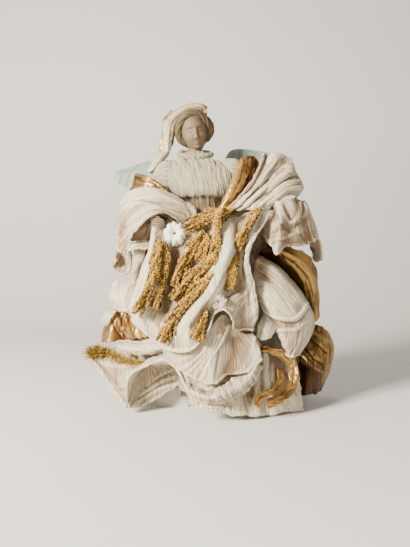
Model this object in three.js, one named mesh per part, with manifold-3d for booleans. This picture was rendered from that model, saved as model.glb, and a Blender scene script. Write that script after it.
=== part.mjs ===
// Angel doll: a porcelain head in a wig and veil, a crinkled cloth gown over a stuffed body, and
// stiffened cloth drapery lined with gold cloth, holding dried grasses in its lap.
// Millimetres, +Z up, the doll looks along -Y. The origin is the centre of the base's underside.
import * as THREE from "three";
import { mergeVertices } from "three/addons/utils/BufferGeometryUtils.js";
import Module from "manifold-3d";

const wasm = await Module();
wasm.setup();

// Driving dimensions
const BASE = { width: 84, depth: 70, height: 20 };
const CLOTH = 1.8; // thickness of the stiffened cloth
const LAME = 1.4; // thickness of the gold cloth
const GAP = 0.42; // how far a piece is grown before its neighbour is cut to clear it
const FINENESS = 0.33; // how far a facet may stand off the surface it stands for

// Places are given as they are seen from in front: millimetres across and up on the upright plane
// through the body, then how far behind that plane the point lies (negative is nearer the eye).
const EYE = { across: 5, up: 127, distance: 520 };
const BODY_PLANE = -10;

function placed([across, up, behind]) {
  const near = (EYE.distance + behind) / EYE.distance;
  return new THREE.Vector3(
    EYE.across + (across - EYE.across) * near,
    behind + BODY_PLANE,
    EYE.up + (up - EYE.up) * near,
  );
}

const COLOURS = {
  cloth: 0xd9cbb8, gown: 0xd6d0bd, gold: 0xb98a3e, porcelain: 0xb59d7c, hair: 0x6f5a38,
  wing: 0xdfe4dc, grass: 0xb8843a, moss: 0x9a7d24, flower: 0xeef2ea, base: 0xc9c6bf,
};

function geometryFrom(points, faces) {
  const geometry = new THREE.BufferGeometry();
  const corners = points.flatMap((p) => [p.x, p.y, p.z]);
  geometry.setAttribute("position", new THREE.Float32BufferAttribute(corners, 3));
  geometry.setIndex(faces.flat());
  return geometry;
}

// A surface through fold lines: v runs down a line, u runs from the first line to the last.
function surfaceThrough(lines, closed = false) {
  const curves = lines.map((line) => new THREE.CatmullRomCurve3(line.map(placed)));
  return (u, v) => {
    const row = curves.map((curve) => curve.getPoint(v));
    return new THREE.CatmullRomCurve3(row, closed).getPoint(u);
  };
}

// Normal of a surface, from small steps along u and v
function normalOf(surface, u, v) {
  const step = 0.004;
  const du = surface(Math.min(u + step, 1), v).sub(surface(Math.max(u - step, 0), v));
  const dv = surface(u, Math.min(v + step, 1)).sub(surface(u, Math.max(v - step, 0)));
  return du.cross(dv).normalize();
}

// A sheet of cloth: both faces of a surface, `thick` apart, closed round the rim.
function sheet(surface, across, along, thick) {
  const points = [];
  for (const side of [0.5, -0.5])
    for (let j = 0; j <= along; j++)
      for (let i = 0; i <= across; i++) {
        const [u, v] = [i / across, j / along];
        points.push(surface(u, v).addScaledVector(normalOf(surface, u, v), side * thick));
      }
  const wide = across + 1, back = wide * (along + 1);
  const at = (i, j) => j * wide + i;
  const faces = [];
  const quad = (a, b, c, d) => faces.push([a, b, c], [a, c, d]);
  for (let j = 0; j < along; j++)
    for (let i = 0; i < across; i++) {
      const [a, b, c, d] = [at(i, j), at(i + 1, j), at(i + 1, j + 1), at(i, j + 1)];
      quad(a, b, c, d);
      quad(back + a, back + d, back + c, back + b);
    }
  const rim = [];
  for (let i = 0; i < across; i++) rim.push(at(i, 0));
  for (let j = 0; j < along; j++) rim.push(at(across, j));
  for (let i = across; i > 0; i--) rim.push(at(i, along));
  for (let j = along; j > 0; j--) rim.push(at(0, j));
  rim.forEach((a, k) => {
    const b = rim[(k + 1) % rim.length];
    quad(b, a, back + a, back + b);
  });
  return geometryFrom(points, faces);
}

// A closed body through rings: u goes round, v from end to end; flat fans close the two ends.
function body(surface, round, along) {
  const points = [], faces = [];
  for (let j = 0; j <= along; j++)
    for (let i = 0; i < round; i++) points.push(surface(i / round, j / along));
  for (let j = 0; j < along; j++)
    for (let i = 0; i < round; i++) {
      const next = (i + 1) % round;
      const [a, b, c, d] = [j * round + i, j * round + next, (j + 1) * round + next, (j + 1) * round + i];
      faces.push([a, b, c], [a, c, d]);
    }
  for (const [j, flip] of [[0, true], [along, false]]) {
    const middle = new THREE.Vector3();
    for (let i = 0; i < round; i++) middle.add(points[j * round + i]);
    points.push(middle.divideScalar(round));
    const centre = points.length - 1;
    for (let i = 0; i < round; i++) {
      const [a, b] = [j * round + i, j * round + ((i + 1) % round)];
      faces.push(flip ? [centre, b, a] : [centre, a, b]);
    }
  }
  return geometryFrom(points, faces);
}

// A surface closed both ways, such as a ring of rolled cloth.
function ring(surface, round, along) {
  const points = [], faces = [];
  for (let j = 0; j < along; j++)
    for (let i = 0; i < round; i++) {
      points.push(surface(i / round, j / along));
      const [ni, nj] = [(i + 1) % round, (j + 1) % along];
      const [a, b, c, d] = [j * round + i, j * round + ni, nj * round + ni, nj * round + i];
      faces.push([a, b, c], [a, c, d]);
    }
  return geometryFrom(points, faces);
}

// A bar along a path; its radius changes along it, and it may be flattened from front to back.
function bar(points, round, along, radiusAt, flat = 1) {
  const curve = new THREE.CatmullRomCurve3(points);
  const depth = new THREE.Vector3(0, 1, 0);
  return body((u, v) => {
    const side = curve.getTangentAt(v).cross(depth).normalize();
    const out = side.clone().cross(curve.getTangentAt(v)).normalize();
    const angle = 2 * Math.PI * u;
    return curve.getPointAt(v)
      .addScaledVector(side, Math.cos(angle) * radiusAt(v))
      .addScaledVector(out, Math.sin(angle) * radiusAt(v) * flat);
  }, round, along);
}

function ellipsoid(centre, radii, turn, fine) {
  return body((u, v) => {
    const latitude = rad(-76 + 152 * v);
    return new THREE.Vector3(
      radii[0] * Math.cos(latitude) * Math.cos(2 * Math.PI * u),
      radii[1] * Math.cos(latitude) * Math.sin(2 * Math.PI * u),
      radii[2] * Math.sin(latitude),
    ).applyMatrix4(turn).add(centre);
  }, fine, fine / 2);
}

// manifold-3d solids, for joining and for trimming where pieces meet
function solidOf(geometry) {
  const merged = mergeVertices(geometry, 1e-3);
  const turned = (flip) => {
    const faces = new Uint32Array(merged.index.array);
    if (flip) faces.reverse();
    return new wasm.Manifold(new wasm.Mesh({
      numProp: 3,
      vertProperties: merged.attributes.position.array,
      triVerts: faces,
    }));
  };
  const solid = turned(false);
  return solid.volume() > 0 ? solid : turned(true);
}

function geometryOf(solid) {
  const mesh = solid.getMesh();
  const geometry = new THREE.BufferGeometry();
  const corners = new Float32Array(mesh.vertProperties);
  geometry.setAttribute("position", new THREE.BufferAttribute(corners, 3));
  geometry.setIndex(Array.from(mesh.triVerts));
  return geometry;
}

// The solid with every corner moved out by `by`, to cut a neighbour clear of it.
function grown(solid, by) {
  const geometry = geometryOf(solid);
  geometry.computeVertexNormals();
  const { position, normal } = geometry.attributes;
  const moved = new THREE.Vector3(), out = new THREE.Vector3();
  for (let i = 0; i < position.count; i++) {
    moved.fromBufferAttribute(position, i).addScaledVector(out.fromBufferAttribute(normal, i), by);
    position.setXYZ(i, moved.x, moved.y, moved.z);
  }
  geometry.deleteAttribute("normal");
  return solidOf(geometry);
}

const rad = THREE.MathUtils.degToRad;
const pieces = []; // first come, first kept whole
function add(name, colour, solid) {
  pieces.push({ name, colour, solid: solid.simplify(FINENESS) });
}
function cloth(name, lines, across, along, colour = "cloth") {
  const thick = colour === "gold" ? LAME : CLOTH;
  add(name, colour, solidOf(sheet(surfaceThrough(lines), across, along, thick)));
}

// Where the line of sight through a place first meets the pieces so far, lifted towards the eye.
function resting(across, up, lift) {
  const eye = new THREE.Vector3(EYE.across, BODY_PLANE - EYE.distance, EYE.up);
  const sight = placed([across, up, 0]).sub(eye).normalize();
  const meshes = pieces.map(({ solid }) => new THREE.Mesh(geometryOf(solid)));
  const [hit] = new THREE.Raycaster(eye, sight).intersectObjects(meshes);
  return hit.point.addScaledVector(sight, -lift);
}

const plinth = new THREE.BoxGeometry(BASE.width, BASE.depth, BASE.height).translate(0, 0, BASE.height / 2);
plinth.deleteAttribute("normal");
plinth.deleteAttribute("uv");
add("base", "base", solidOf(plinth));

// The lap cloth, held up at its left corner by the hand, with a rolled ridge from waist to hem
cloth("apron", [
  [[-41, 165, -28], [-49, 142, -33], [-58, 112, -38], [-64, 95, -43], [-61, 83, -48]],
  [[-46, 168, -40], [-54, 142, -48], [-63, 112, -54], [-70, 94, -56], [-66, 80, -56]],
  [[-46, 174, -46], [-51, 144, -58], [-58, 110, -66], [-64, 91, -68], [-57, 71, -68]],
  [[-37, 173, -42], [-40, 142, -50], [-47, 108, -60], [-52, 85, -66], [-47, 60, -70]],
  [[-20, 175, -38], [-25, 138, -46], [-32, 102, -58], [-37, 75, -68], [-33, 51, -76]],
  [[4, 181, -38], [4, 138, -52], [-8, 104, -66], [-24, 76, -76], [-23, 49, -80]],
  [[26, 183, -42], [26, 146, -67], [12, 110, -82], [-13, 80, -88], [-14, 49, -84]],
  [[36, 183, -39], [38, 138, -56], [26, 107, -68], [4, 78, -76], [-3, 53, -84]],
  [[44, 186, -39], [43, 138, -54], [36, 110, -62], [14, 92, -74], [11, 72, -82]],
  [[49, 188, -41], [44, 138, -56], [40, 111, -62], [20, 97, -74], [15, 85, -80]],
  [[54, 189, -42], [45, 138, -58], [44, 112, -62], [28, 99, -74], [23, 90, -82]],
  [[59, 190, -42], [46, 138, -59], [48, 112, -62], [36, 95, -70], [31, 83, -78]],
  [[64, 189, -41], [47, 140, -58], [51, 111, -60], [43, 88, -66], [33, 72, -70]],
  [[72, 189, -36], [48, 145, -52], [53, 110, -54], [56, 90, -54], [52, 70, -56]],
], 20, 7);

// The right shoulder: a fan of pleats over the shoulder, and the ruffle that falls from it
cloth("shoulder_fan", [
  [[26, 193, -40], [44, 216, -34], [58, 237, -22], [63, 246, -12], [58, 236, 12]],
  [[28, 192, -36], [48, 214, -28], [61, 234, -16], [68, 247, -4], [66, 238, 15]],
  [[31, 192, -42], [53, 214, -38], [68, 232, -24], [78, 247, -6], [75, 237, 17]],
  [[36, 191, -37], [58, 211, -30], [74, 228, -18], [90, 242, 0], [84, 230, 18]],
  [[40, 191, -43], [62, 209, -39], [81, 224, -28], [94, 232, -4], [88, 222, 18]],
  [[45, 191, -38], [66, 206, -34], [85, 219, -24], [100, 221, 0], [92, 214, 17]],
  [[51, 191, -43], [70, 202, -41], [87, 213, -33], [103, 213, -6], [96, 208, 14]],
  [[57, 192, -41], [72, 199, -39], [86, 208, -33], [99, 207, -10], [96, 203, 8]],
  [[62, 192, -39], [72, 197, -35], [84, 205, -29], [96, 205, -8], [94, 201, 4]],
], 16, 5);

cloth("arm_ruffle", [
  [[71, 192, -26], [68, 183, -26], [66, 174, -28], [65, 164, -31]],
  [[71, 197, -32], [74, 187, -37], [73, 172, -41], [72, 154, -42]],
  [[75, 200, -36], [80, 188, -43], [79, 168, -45], [76, 146, -43]],
  [[79, 200, -39], [86, 187, -38], [86, 172, -37], [84, 154, -35]],
  [[87, 201, -34], [94, 192, -37], [97, 174, -33], [96, 155, -28]],
  [[96, 201, -20], [101, 192, -25], [105, 176, -22], [108, 157, -19]],
  [[104, 199, -11], [109, 192, -15], [113, 178, -14], [119, 160, -12]],
  [[107, 194, 2], [107, 185, 1], [115, 170, 0], [122, 141, -2]],
  [[100, 192, 14], [101, 180, 14], [109, 160, 14], [114, 138, 12]],
], 14, 4);

// The left sleeve: a drape over the arm, open in front, with a curled hem below the elbow
cloth("sleeve_drape", [
  [[-16, 197, -14], [-35, 206, 4], [-58, 212, 14], [-76, 200, 20], [-81, 178, 20], [-80, 154, 16]],
  [[-7, 194, -27], [-26, 204, -29], [-52, 212, -27], [-74, 204, -12], [-83, 184, -6], [-83, 156, -6]],
  [[-3, 189, -31], [-25, 199, -38], [-51, 205, -40], [-72, 194, -30], [-81, 174, -20], [-82, 151, -16]],
  [[-4, 183, -31], [-28, 195, -36], [-52, 197, -38], [-70, 188, -32], [-78, 168, -24], [-80, 149, -20]],
  [[-10, 180, -34], [-32, 192, -42], [-52, 191, -46], [-67, 180, -42], [-75, 162, -33], [-79, 148, -24]],
  [[-18, 177, -33], [-35, 187, -43], [-50, 183, -48], [-62, 172, -43], [-72, 159, -34], [-78, 148, -26]],
], 10, 8);

// The right side: a long flap that curls in at its lower end
cloth("side_flap", [
  [[62, 144, -18], [80, 132, -12], [97, 114, -8], [108, 97, -6], [114, 80, -8], [112, 62, -14],
    [105, 48, -24]],
  [[56, 141, -30], [74, 130, -34], [91, 112, -34], [104, 96, -32], [111, 80, -30], [110, 62, -32],
    [102, 46, -38]],
  [[54, 132, -30], [70, 120, -36], [86, 104, -38], [98, 90, -38], [104, 78, -36], [102, 63, -38],
    [97, 44, -44]],
  [[54, 124, -36], [66, 112, -46], [80, 98, -50], [90, 86, -50], [96, 74, -48], [94, 60, -48],
    [92, 42, -50]],
  [[55, 114, -34], [62, 102, -44], [72, 90, -48], [80, 80, -48], [84, 70, -48], [86, 57, -50],
    [90, 43, -50]],
  [[57, 108, -26], [60, 100, -34], [67, 88, -38], [73, 78, -40], [77, 70, -42], [83, 59, -46],
    [88, 45, -48]],
], 10, 8);

cloth("flap_curl", [
  [[64, 88, -38], [59, 75, -44], [57, 62, -46]],
  [[68, 84, -44], [64, 72, -50], [61, 60, -50]],
  [[71, 77, -42], [70, 68, -47], [68, 63, -50]],
], 4, 4);

// The skirt: a broad front fold, a lifted left corner with the fold inside it, and the hem below
cloth("skirt_front", [
  [[-40, 55, -62], [-37, 48, -66], [-32, 38, -71]],
  [[-25, 55, -72], [-20, 42, -77], [-16, 28, -81]],
  [[-10, 57, -78], [-2, 40, -82], [0, 19, -86]],
  [[7, 69, -78], [10, 43, -84], [13, 16, -88]],
  [[22, 86, -68], [20, 52, -79], [19, 20, -84]],
  [[30, 81, -62], [29, 52, -74], [26, 24, -80]],
  [[40, 68, -62], [45, 48, -68], [46, 28, -74]],
  [[52, 67, -57], [58, 55, -62], [62, 40, -66]],
], 14, 4);

cloth("skirt_left", [
  [[-100, 48, 0], [-108, 48, -4], [-116, 47, -6]],
  [[-82, 44, -14], [-94, 38, -20], [-102, 30, -22]],
  [[-67, 40, -30], [-78, 26, -36], [-87, 9, -38]],
  [[-57, 38, -40], [-67, 20, -50], [-73, -7, -54]],
  [[-50, 40, -44], [-61, 32, -52], [-70, 22, -60]],
  [[-42, 44, -50], [-48, 40, -58], [-52, 34, -63]],
  [[-32, 48, -55], [-34, 44, -61], [-35, 39, -65]],
  [[-22, 48, -60], [-23, 40, -67], [-23, 29, -72]],
  [[-14, 46, -61], [-13, 28, -71], [-14, 10, -76]],
  [[-4, 44, -60], [-2, 20, -71], [-6, -5, -78]],
], 18, 4);

cloth("skirt_inner", [
  [[-68, 15, -44], [-70, 5, -46], [-71, -6, -49]],
  [[-58, 30, -38], [-56, 14, -40], [-55, -4, -42]],
  [[-42, 39, -34], [-40, 23, -36], [-37, 5, -38]],
  [[-28, 41, -34], [-24, 30, -36], [-20, 16, -37]],
], 3, 3);

cloth("skirt_curl", [
  [[-84, 59, -26], [-75, 60, -28], [-60, 59, -36], [-42, 63, -46], [-32, 57, -54]],
  [[-81, 53, -32], [-70, 52, -36], [-55, 51, -44], [-40, 53, -52], [-30, 53, -58]],
  [[-73, 48, -30], [-62, 46, -35], [-50, 47, -41], [-38, 50, -47], [-28, 51, -53]],
], 4, 6);

cloth("flounce", [
  [[-16, 19, -72], [-13, 11, -84], [-9, 3, -78]],
  [[-4, 13, -78], [-2, 6, -92], [1, -1, -84]],
  [[8, 10, -81], [10, 3, -96], [13, -3, -86]],
  [[21, 14, -78], [24, 7, -92], [27, 0, -84]],
  [[33, 19, -73], [38, 13, -86], [41, 6, -78]],
  [[43, 24, -65], [49, 22, -77], [53, 17, -69]],
  [[50, 38, -59], [57, 37, -69], [62, 34, -61]],
], 12, 2);

cloth("underskirt", [
  [[-10, 24, -62], [-9, 10, -66], [-3, -2, -70]],
  [[-1, 26, -66], [-1, 10, -76], [2, -8, -76]],
  [[12, 28, -68], [11, 8, -80], [12, -11, -80]],
  [[25, 34, -62], [24, 8, -78], [24, -12.5, -78]],
  [[36, 50, -54], [38, 12, -70], [37, -15.5, -76]],
  [[46, 58, -46], [48, 20, -60], [49, -15, -70]],
  [[56, 60, -46], [56, 25, -62], [58, -15, -68]],
  [[62, 56, -42], [61, 25, -54], [66, -14, -60]],
  [[68, 52, -42], [67, 22, -58], [74, -13.5, -58]],
  [[81, 50, -38], [84, 18, -46], [89, -11, -48]],
  [[96, 42, -32], [100, 17, -39], [103, -10, -41]],
], 20, 3);

// The left side of the lap: a lobe of the mantle, its tip, and the gold cloth under it
cloth("lap_lobe", [
  [[-64, 117, -30], [-67, 104, -34], [-66, 89, -40]],
  [[-74, 118, -24], [-77, 105, -31], [-75, 90, -34]],
  [[-83, 119, -12], [-87, 106, -17], [-83, 91, -20]],
  [[-90, 116, 2], [-91, 104, 2], [-87, 93, 0]],
], 6, 3);

cloth("cloth_tip", [
  [[-87, 92, -10], [-94, 88, -13], [-99, 79, -14]],
  [[-83, 89, -20], [-88, 83, -22], [-93, 75, -20]],
], 1, 3);

cloth("gold_fold", [
  [[-86, 91, -2], [-94, 77, -5], [-99, 59, -8]],
  [[-81, 89, -14], [-88, 74, -19], [-92, 58, -21]],
  [[-73, 87, -16], [-77, 73, -16], [-78, 60, -18]],
  [[-65, 80, -28], [-68, 70, -30], [-67, 61, -32]],
  [[-56, 70, -40], [-54, 66, -41], [-53, 63, -42]],
], 8, 3, "gold");

// Gold cloth at the right: the train that bulges behind the flap, and the lining above it
cloth("gold_train", [
  [[106, 75, 2], [100, 55, -8], [99, 28, -16], [99, 6, -20]],
  [[114, 76, 0], [112, 55, -12], [108, 28, -22], [105, 5, -24]],
  [[122, 74, 2], [125, 55, -8], [121, 30, -14], [114, 6, -16]],
  [[130, 66, 12], [133, 55, 6], [130, 33, 2], [122, 12, 0]],
  [[124, 63, 26], [128, 52, 26], [125, 34, 24], [118, 16, 20]],
], 8, 5, "gold");

cloth("gold_lining", [
  [[68, 160, -16], [85, 154, -18], [105, 148, -10], [117, 132, -2], [118, 110, 4], [120, 84, 8]],
  [[66, 154, -18], [83, 146, -22], [100, 136, -16], [112, 120, -8], [115, 100, -2], [118, 81, 4]],
  [[62, 150, -16], [80, 138, -16], [96, 125, -10], [106, 108, -4], [111, 92, 0], [114, 79, 4]],
  [[58, 148, -10], [75, 132, -4], [90, 117, 0], [102, 100, 2], [108, 85, 4], [110, 78, 6]],
], 3, 8, "gold");

cloth("gold_sash", [
  [[38, 240, -18], [34, 225, -27], [26, 208, -32], [19, 192, -33]],
  [[43, 243, -16], [38, 224, -33], [29, 207, -38], [21, 190, -38]],
  [[48, 244, -12], [45, 222, -27], [34, 205, -33], [23, 190, -34]],
  [[54, 243, -7], [51, 224, -20], [40, 208, -26], [26, 191, -31]],
  [[59, 237, 2], [53, 220, -14], [43, 206, -20], [28, 192, -28]],
], 4, 5, "gold");

cloth("sleeve_gold", [
  [[-64, 227, -4], [-50, 223, -21], [-37, 213, -23], [-23, 201, -25]],
  [[-70, 208, -8], [-55, 209, -23], [-40, 207, -25], [-26, 198, -26]],
], 2, 5, "gold");

cloth("sleeve_hem", [
  [[-44, 160, -22], [-45, 155, -24], [-48, 149, -26]],
  [[-57, 160, -26], [-58, 156, -28], [-60, 152, -30]],
  [[-68, 156, -28], [-69, 153, -30], [-70, 149, -31]],
  [[-70, 153, -14], [-69, 145, -19], [-68, 138, -22]],
  [[-73, 150, -2], [-70, 139, -6], [-70, 128, -12]],
  [[-79, 148, 4], [-79, 137, 2], [-79, 125, -4]],
  [[-83, 148, -1], [-86, 141, -1], [-87, 132, -3]],
  [[-84, 148, -8], [-84, 145, -9], [-83, 141, -10]],
], 14, 3);

cloth("sleeve_inner", [
  [[-69, 168, -4], [-60, 181, -10], [-50, 187, -14], [-32, 183, -14]],
  [[-72, 163, -13], [-61, 171, -21], [-50, 175, -24], [-34, 173, -20]],
  [[-69, 160, -10], [-59, 161, -15], [-48, 162, -18], [-34, 162, -16]],
], 3, 3);

// Gold ribbon ends below the flap
cloth("ribbon_outer", [
  [[62, 55, -47], [72, 53, -48], [84, 49, -46], [94, 42, -47], [99, 29, -50], [97, 14, -55],
    [91, 4, -60], [80, -2, -68], [68, -9, -74]],
  [[62, 48, -49], [71, 46, -50], [80, 41, -48], [87, 35, -48], [89, 26, -50], [88, 16, -54],
    [83, 8, -58], [75, 4, -66], [66, 0, -72]],
], 1, 14, "gold");

cloth("ribbon_inner", [
  [[84, 32, -49], [84, 21, -54], [80, 12, -60], [71, 5, -70], [62, -2, -76], [57, -8, -79]],
  [[76, 32, -52], [77, 23, -56], [73, 16, -61], [66, 10, -70], [57, 5, -78], [53, -1, -82]],
], 1, 10, "gold");

// The head: a face with lowered lids, tilted and turned to the right, on a short neck
const HEAD = {
  at: [-6.5, 269, -6], tilt: 12, turn: 7, nod: 14,
  wide: 13, deep: 14.5, chin: 20.5, crown: 16.5,
};
const headTurn = new THREE.Matrix4()
  .makeRotationFromEuler(new THREE.Euler(rad(HEAD.nod), -rad(HEAD.tilt), rad(HEAD.turn), "YZX"));
const headPose = headTurn.clone().setPosition(placed(HEAD.at));
const inHead = (x, y, z) => new THREE.Vector3(x, y, z).applyMatrix4(headPose);

// A soft bump of the given height round a spot on the face
function bump(x, z, spotX, spotZ, wide, high, height) {
  return height * Math.exp(-(((x - spotX) / wide) ** 2) - ((z - spotZ) / high) ** 2);
}
function headPoint(u, v) {
  const side = 2 * u - 1;
  const angle = rad(-90 + 180 * (0.45 * side + 0.55 * side ** 3));
  const latitude = rad(-80 + 160 * v);
  const z = (latitude < 0 ? HEAD.chin : HEAD.crown) * Math.sin(latitude);
  const low = Math.max(0, -Math.sin(latitude));
  const round = Math.cos(latitude) ** (0.9 - 0.15 * low);
  const x = HEAD.wide * (1 - 0.25 * low ** 1.5) * round * Math.cos(angle);
  const y = HEAD.deep * round * Math.sin(angle);
  if (y > 0) return inHead(x, y, z);
  const sockets = bump(Math.abs(x), z, 5.6, 0.8, 3, 2.6, 1.7) - bump(Math.abs(x), z, 5.7, 0.6, 2, 1.5, 1.1);
  const nose = bump(x, z, 0, -2, 1.8, 4.5, 1.8) + bump(x, z, 0, -6, 2.2, 2, 2.4);
  const mouth = bump(x, z, 0, -10.6, 3.6, 1.8, 1.3);
  const chin = bump(x, z, 0, -16, 5, 3, 1.6);
  return inHead(x, y + (sockets - nose - mouth - chin) * Math.min(1, -y / 6), z);
}
const neck = bar([[-7, 259, -3], [-5, 254, -3], [-4, 250.5, -5]].map(placed), 10, 2, () => 6.2);
add("head", "porcelain", solidOf(body(headPoint, 20, 11)).add(solidOf(neck)));

// The veil: a folded strip over the crown, hanging down the left side to the shoulder
cloth("veil", [
  [[6, 286, 4], [-1, 288, 8], [-11, 287, 10], [-20, 283, 8], [-24, 274, 6],
    [-26, 261, 4], [-29, 250, 3], [-35, 242, 2], [-44, 233, 1]],
  [[7, 291, 2], [-2, 294, 8], [-13, 293, 8], [-25, 287, 6], [-33, 277, 3],
    [-34, 262, 2], [-35, 251, 1], [-42, 243, 0], [-49, 233, -1]],
  [[7, 293, -6], [-3, 297, -6], [-14, 295, -6], [-27, 288, -6], [-35, 278, -6],
    [-36, 263, -6], [-37, 252, -6], [-44, 243, -7], [-52, 230, -8]],
  [[7, 290, -12], [-2, 295, -16], [-13, 293, -17], [-25, 286, -16], [-33, 276, -14],
    [-34, 262, -13], [-34, 250, -13], [-42, 240, -14], [-50, 228, -17]],
  [[6, 287, -10], [-1, 290, -14], [-11, 289, -15], [-20, 284, -14], [-26, 275, -12],
    [-28, 262, -10], [-30, 251, -10], [-36, 243, -12], [-44, 234, -15]],
], 4, 12);

cloth("veil_gold", [
  [[-24, 289, 8], [-32, 284, 7], [-34, 274, 6], [-35, 260, 6], [-37, 250, 6], [-41, 243, 6]],
  [[-28, 290, 12], [-37, 281, 11], [-37, 272, 10], [-40, 258, 10], [-41, 250, 10], [-43, 244, 10]],
], 1, 6, "gold");

// The wig: a cap, a roll that frames the face and a knot at the right, hollowed for the head
const rollPath = Array.from({ length: 11 }, (_, i) => {
  const angle = rad(-48 + 27.6 * i);
  const above = Math.max(0, Math.sin(angle));
  return inHead(15.2 * Math.cos(angle), -1.5 - 3.5 * above, (13.8 + 3.6 * above) * Math.sin(angle) - 0.5);
});
const wig = [
  ellipsoid(inHead(0.5, 5, 0.5), [15.5, 14.5, 16], headTurn, 12),
  bar(rollPath, 5, 10, (v) => 3.2 + 1.3 * Math.sin(Math.PI * v)),
  ellipsoid(inHead(14.5, 1, 2), [5, 6.5, 9], headTurn, 8),
].map(solidOf);
const hollow = solidOf(
  ellipsoid(inHead(0, 0, -1.2), [HEAD.wide + 1.2, HEAD.deep + 1.2, 20.4], headTurn, 12),
);
add("wig", "hair", wig[0].add(wig[1]).add(wig[2]).subtract(hollow).simplify(0.8));

// The gathered collar
const COLLAR = { at: [-4.5, 246, -6], wide: 15.3, deep: 12, tube: 3.3, droop: 3, gathers: 9 };
add("collar", "gown", solidOf(ring((u, v) => {
  const angle = 2 * Math.PI * v, section = 2 * Math.PI * u;
  const tube = COLLAR.tube * (1 + 0.14 * Math.sin(COLLAR.gathers * angle));
  const reach = tube * Math.cos(section);
  return placed(COLLAR.at).add(new THREE.Vector3(
    (COLLAR.wide + reach) * Math.cos(angle),
    (COLLAR.deep + reach) * Math.sin(angle),
    COLLAR.droop * Math.sin(angle) + tube * Math.sin(section),
  ));
}, 5, 20)));

// The bodice: its rings from waist to neck, each a middle, half width and half depth, and two
// puffed sleeves
const BODICE = [
  { at: [7, 186, -6], wide: 17, deep: 14 },
  { at: [6, 194, -6], wide: 16, deep: 13.5 },
  { at: [5, 200, -6], wide: 20, deep: 16 },
  { at: [5, 203, -6], wide: 28, deep: 21 },
  { at: [4, 210, -6], wide: 34, deep: 24 },
  { at: [1, 222, -6], wide: 38, deep: 23 },
  { at: [0, 231, -6], wide: 35, deep: 18.5 },
  { at: [-3, 238.5, -6], wide: 24, deep: 13 },
  { at: [-4, 241, -6], wide: 12, deep: 8.5 },
  { at: [-5, 248, -6], wide: 9, deep: 6.5 },
];
function bodicePoint(u, v) {
  const angle = 2 * Math.PI * u;
  const crinkle = 1 + 0.025 * Math.cos(13 * angle);
  const curve = new THREE.CatmullRomCurve3(BODICE.map(({ at, wide, deep }) => placed(at)
    .add(new THREE.Vector3(wide * crinkle * Math.cos(angle), deep * crinkle * Math.sin(angle), 0))));
  return curve.getPoint(v);
}
const upright = new THREE.Matrix4();
const puffs = [[-34, 224, -6], [31, 226, -6]]
  .map((at) => solidOf(ellipsoid(placed(at), [16, 14, 16], upright, 8)));
add("bodice", "gown", solidOf(body(bodicePoint, 20, 8)).add(puffs[0]).add(puffs[1]).simplify(0.65));

const hand = bar([[-49, 164, -22], [-47, 171, -32], [-43, 176, -40], [-36, 178, -43]].map(placed), 7, 5,
  (v) => 2.6 + 1.8 * Math.sin(Math.PI * Math.min(1, v * 1.15)));
add("hand", "porcelain", solidOf(hand));

// The gown's skirt over the stuffed lap
const SKIRT = [
  [[8, 187.5, -24], [6, 125, -36], [12, 55, -54], [12, -4, -64]],
  [[20, 187, -20], [28, 125, -32], [36, 50, -42], [44, -6, -56]],
  [[30, 185.8, -10], [50, 122, -18], [72, 48, -28], [80, -5, -40]],
  [[34, 184.7, 0], [64, 118, 2], [90, 38, -14], [96, -4, -28]],
  [[32, 183.6, 10], [64, 114, 14], [90, 38, 10], [94, 6, 10]],
  [[22, 183, 16], [45, 115, 34], [61, 40, 42], [64, 13, 46]],
  [[8, 182.8, 18], [5, 115, 40], [8, 40, 50], [8, 15, 52]],
  [[-6, 183, 16], [-30, 115, 34], [-36, 40, 42], [-36, 13, 44]],
  [[-16, 183.6, 10], [-52, 115, 14], [-60, 40, 10], [-56, 4, 10]],
  [[-18, 184.7, 0], [-53, 115, -6], [-58, 50, -12], [-54, 12, -12]],
  [[-12, 186, -12], [-38, 122, -26], [-44, 60, -30], [-36, 15, -18]],
  [[-2, 187, -20], [-16, 125, -34], [-16, 55, -46], [-10, 6, -50]],
];
add("gown_skirt", "gown", solidOf(body(surfaceThrough(SKIRT, true), 22, 5)));

// Dried grasses: half the width of each head and the places, across and up, that it passes over.
// A third number says how far behind the upright plane a head stands clear of what is under it.
const GRASSES = [
  { thick: 6.5, over: [[-39, 163], [-44, 138], [-50, 112], [-63, 88]] },
  { thick: 5.5, over: [[-35, 159], [-34, 136], [-38, 114], [-45, 95]] },
  { thick: 5, over: [[36, 193, -53], [22, 187, -49], [6, 180, -47], [-12, 173, -49]] },
  { thick: 7, over: [[5, 170], [-5, 155], [-16, 136], [-24, 116]] },
  { thick: 5, over: [[24, 195, -56], [16, 176, -55], [17, 153], [13, 138]] },
  { thick: 6.5, over: [[18, 149], [3, 133], [-11, 118], [-23, 101]] },
  { thick: 7, over: [[13, 128], [1, 112], [-16, 92], [-30, 74], [-36, 60]] },
  { thick: 5, over: [[7, 168], [6, 155], [0, 141]] },
  { thick: 6, over: [[61, 193], [51, 181], [44, 168], [38, 153]] },
  { thick: 4, over: [[37, 146], [33, 130], [31, 114]] },
  { thick: 6, over: [[8, 92], [3, 79], [-4, 63]] },
];
GRASSES.forEach(({ thick, over }, i) => {
  const lift = thick * 0.62 + 1.4;
  const path = over.map((place) => (place.length === 3 ? placed(place) : resting(...place, lift)));
  const radius = (v) => thick * (0.35 + 0.65 * Math.sin(Math.PI * (0.12 + 0.8 * v)));
  add(`grass_${i + 1}`, "grass", solidOf(bar(path, 6, 5, radius, 0.55)));
});

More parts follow.
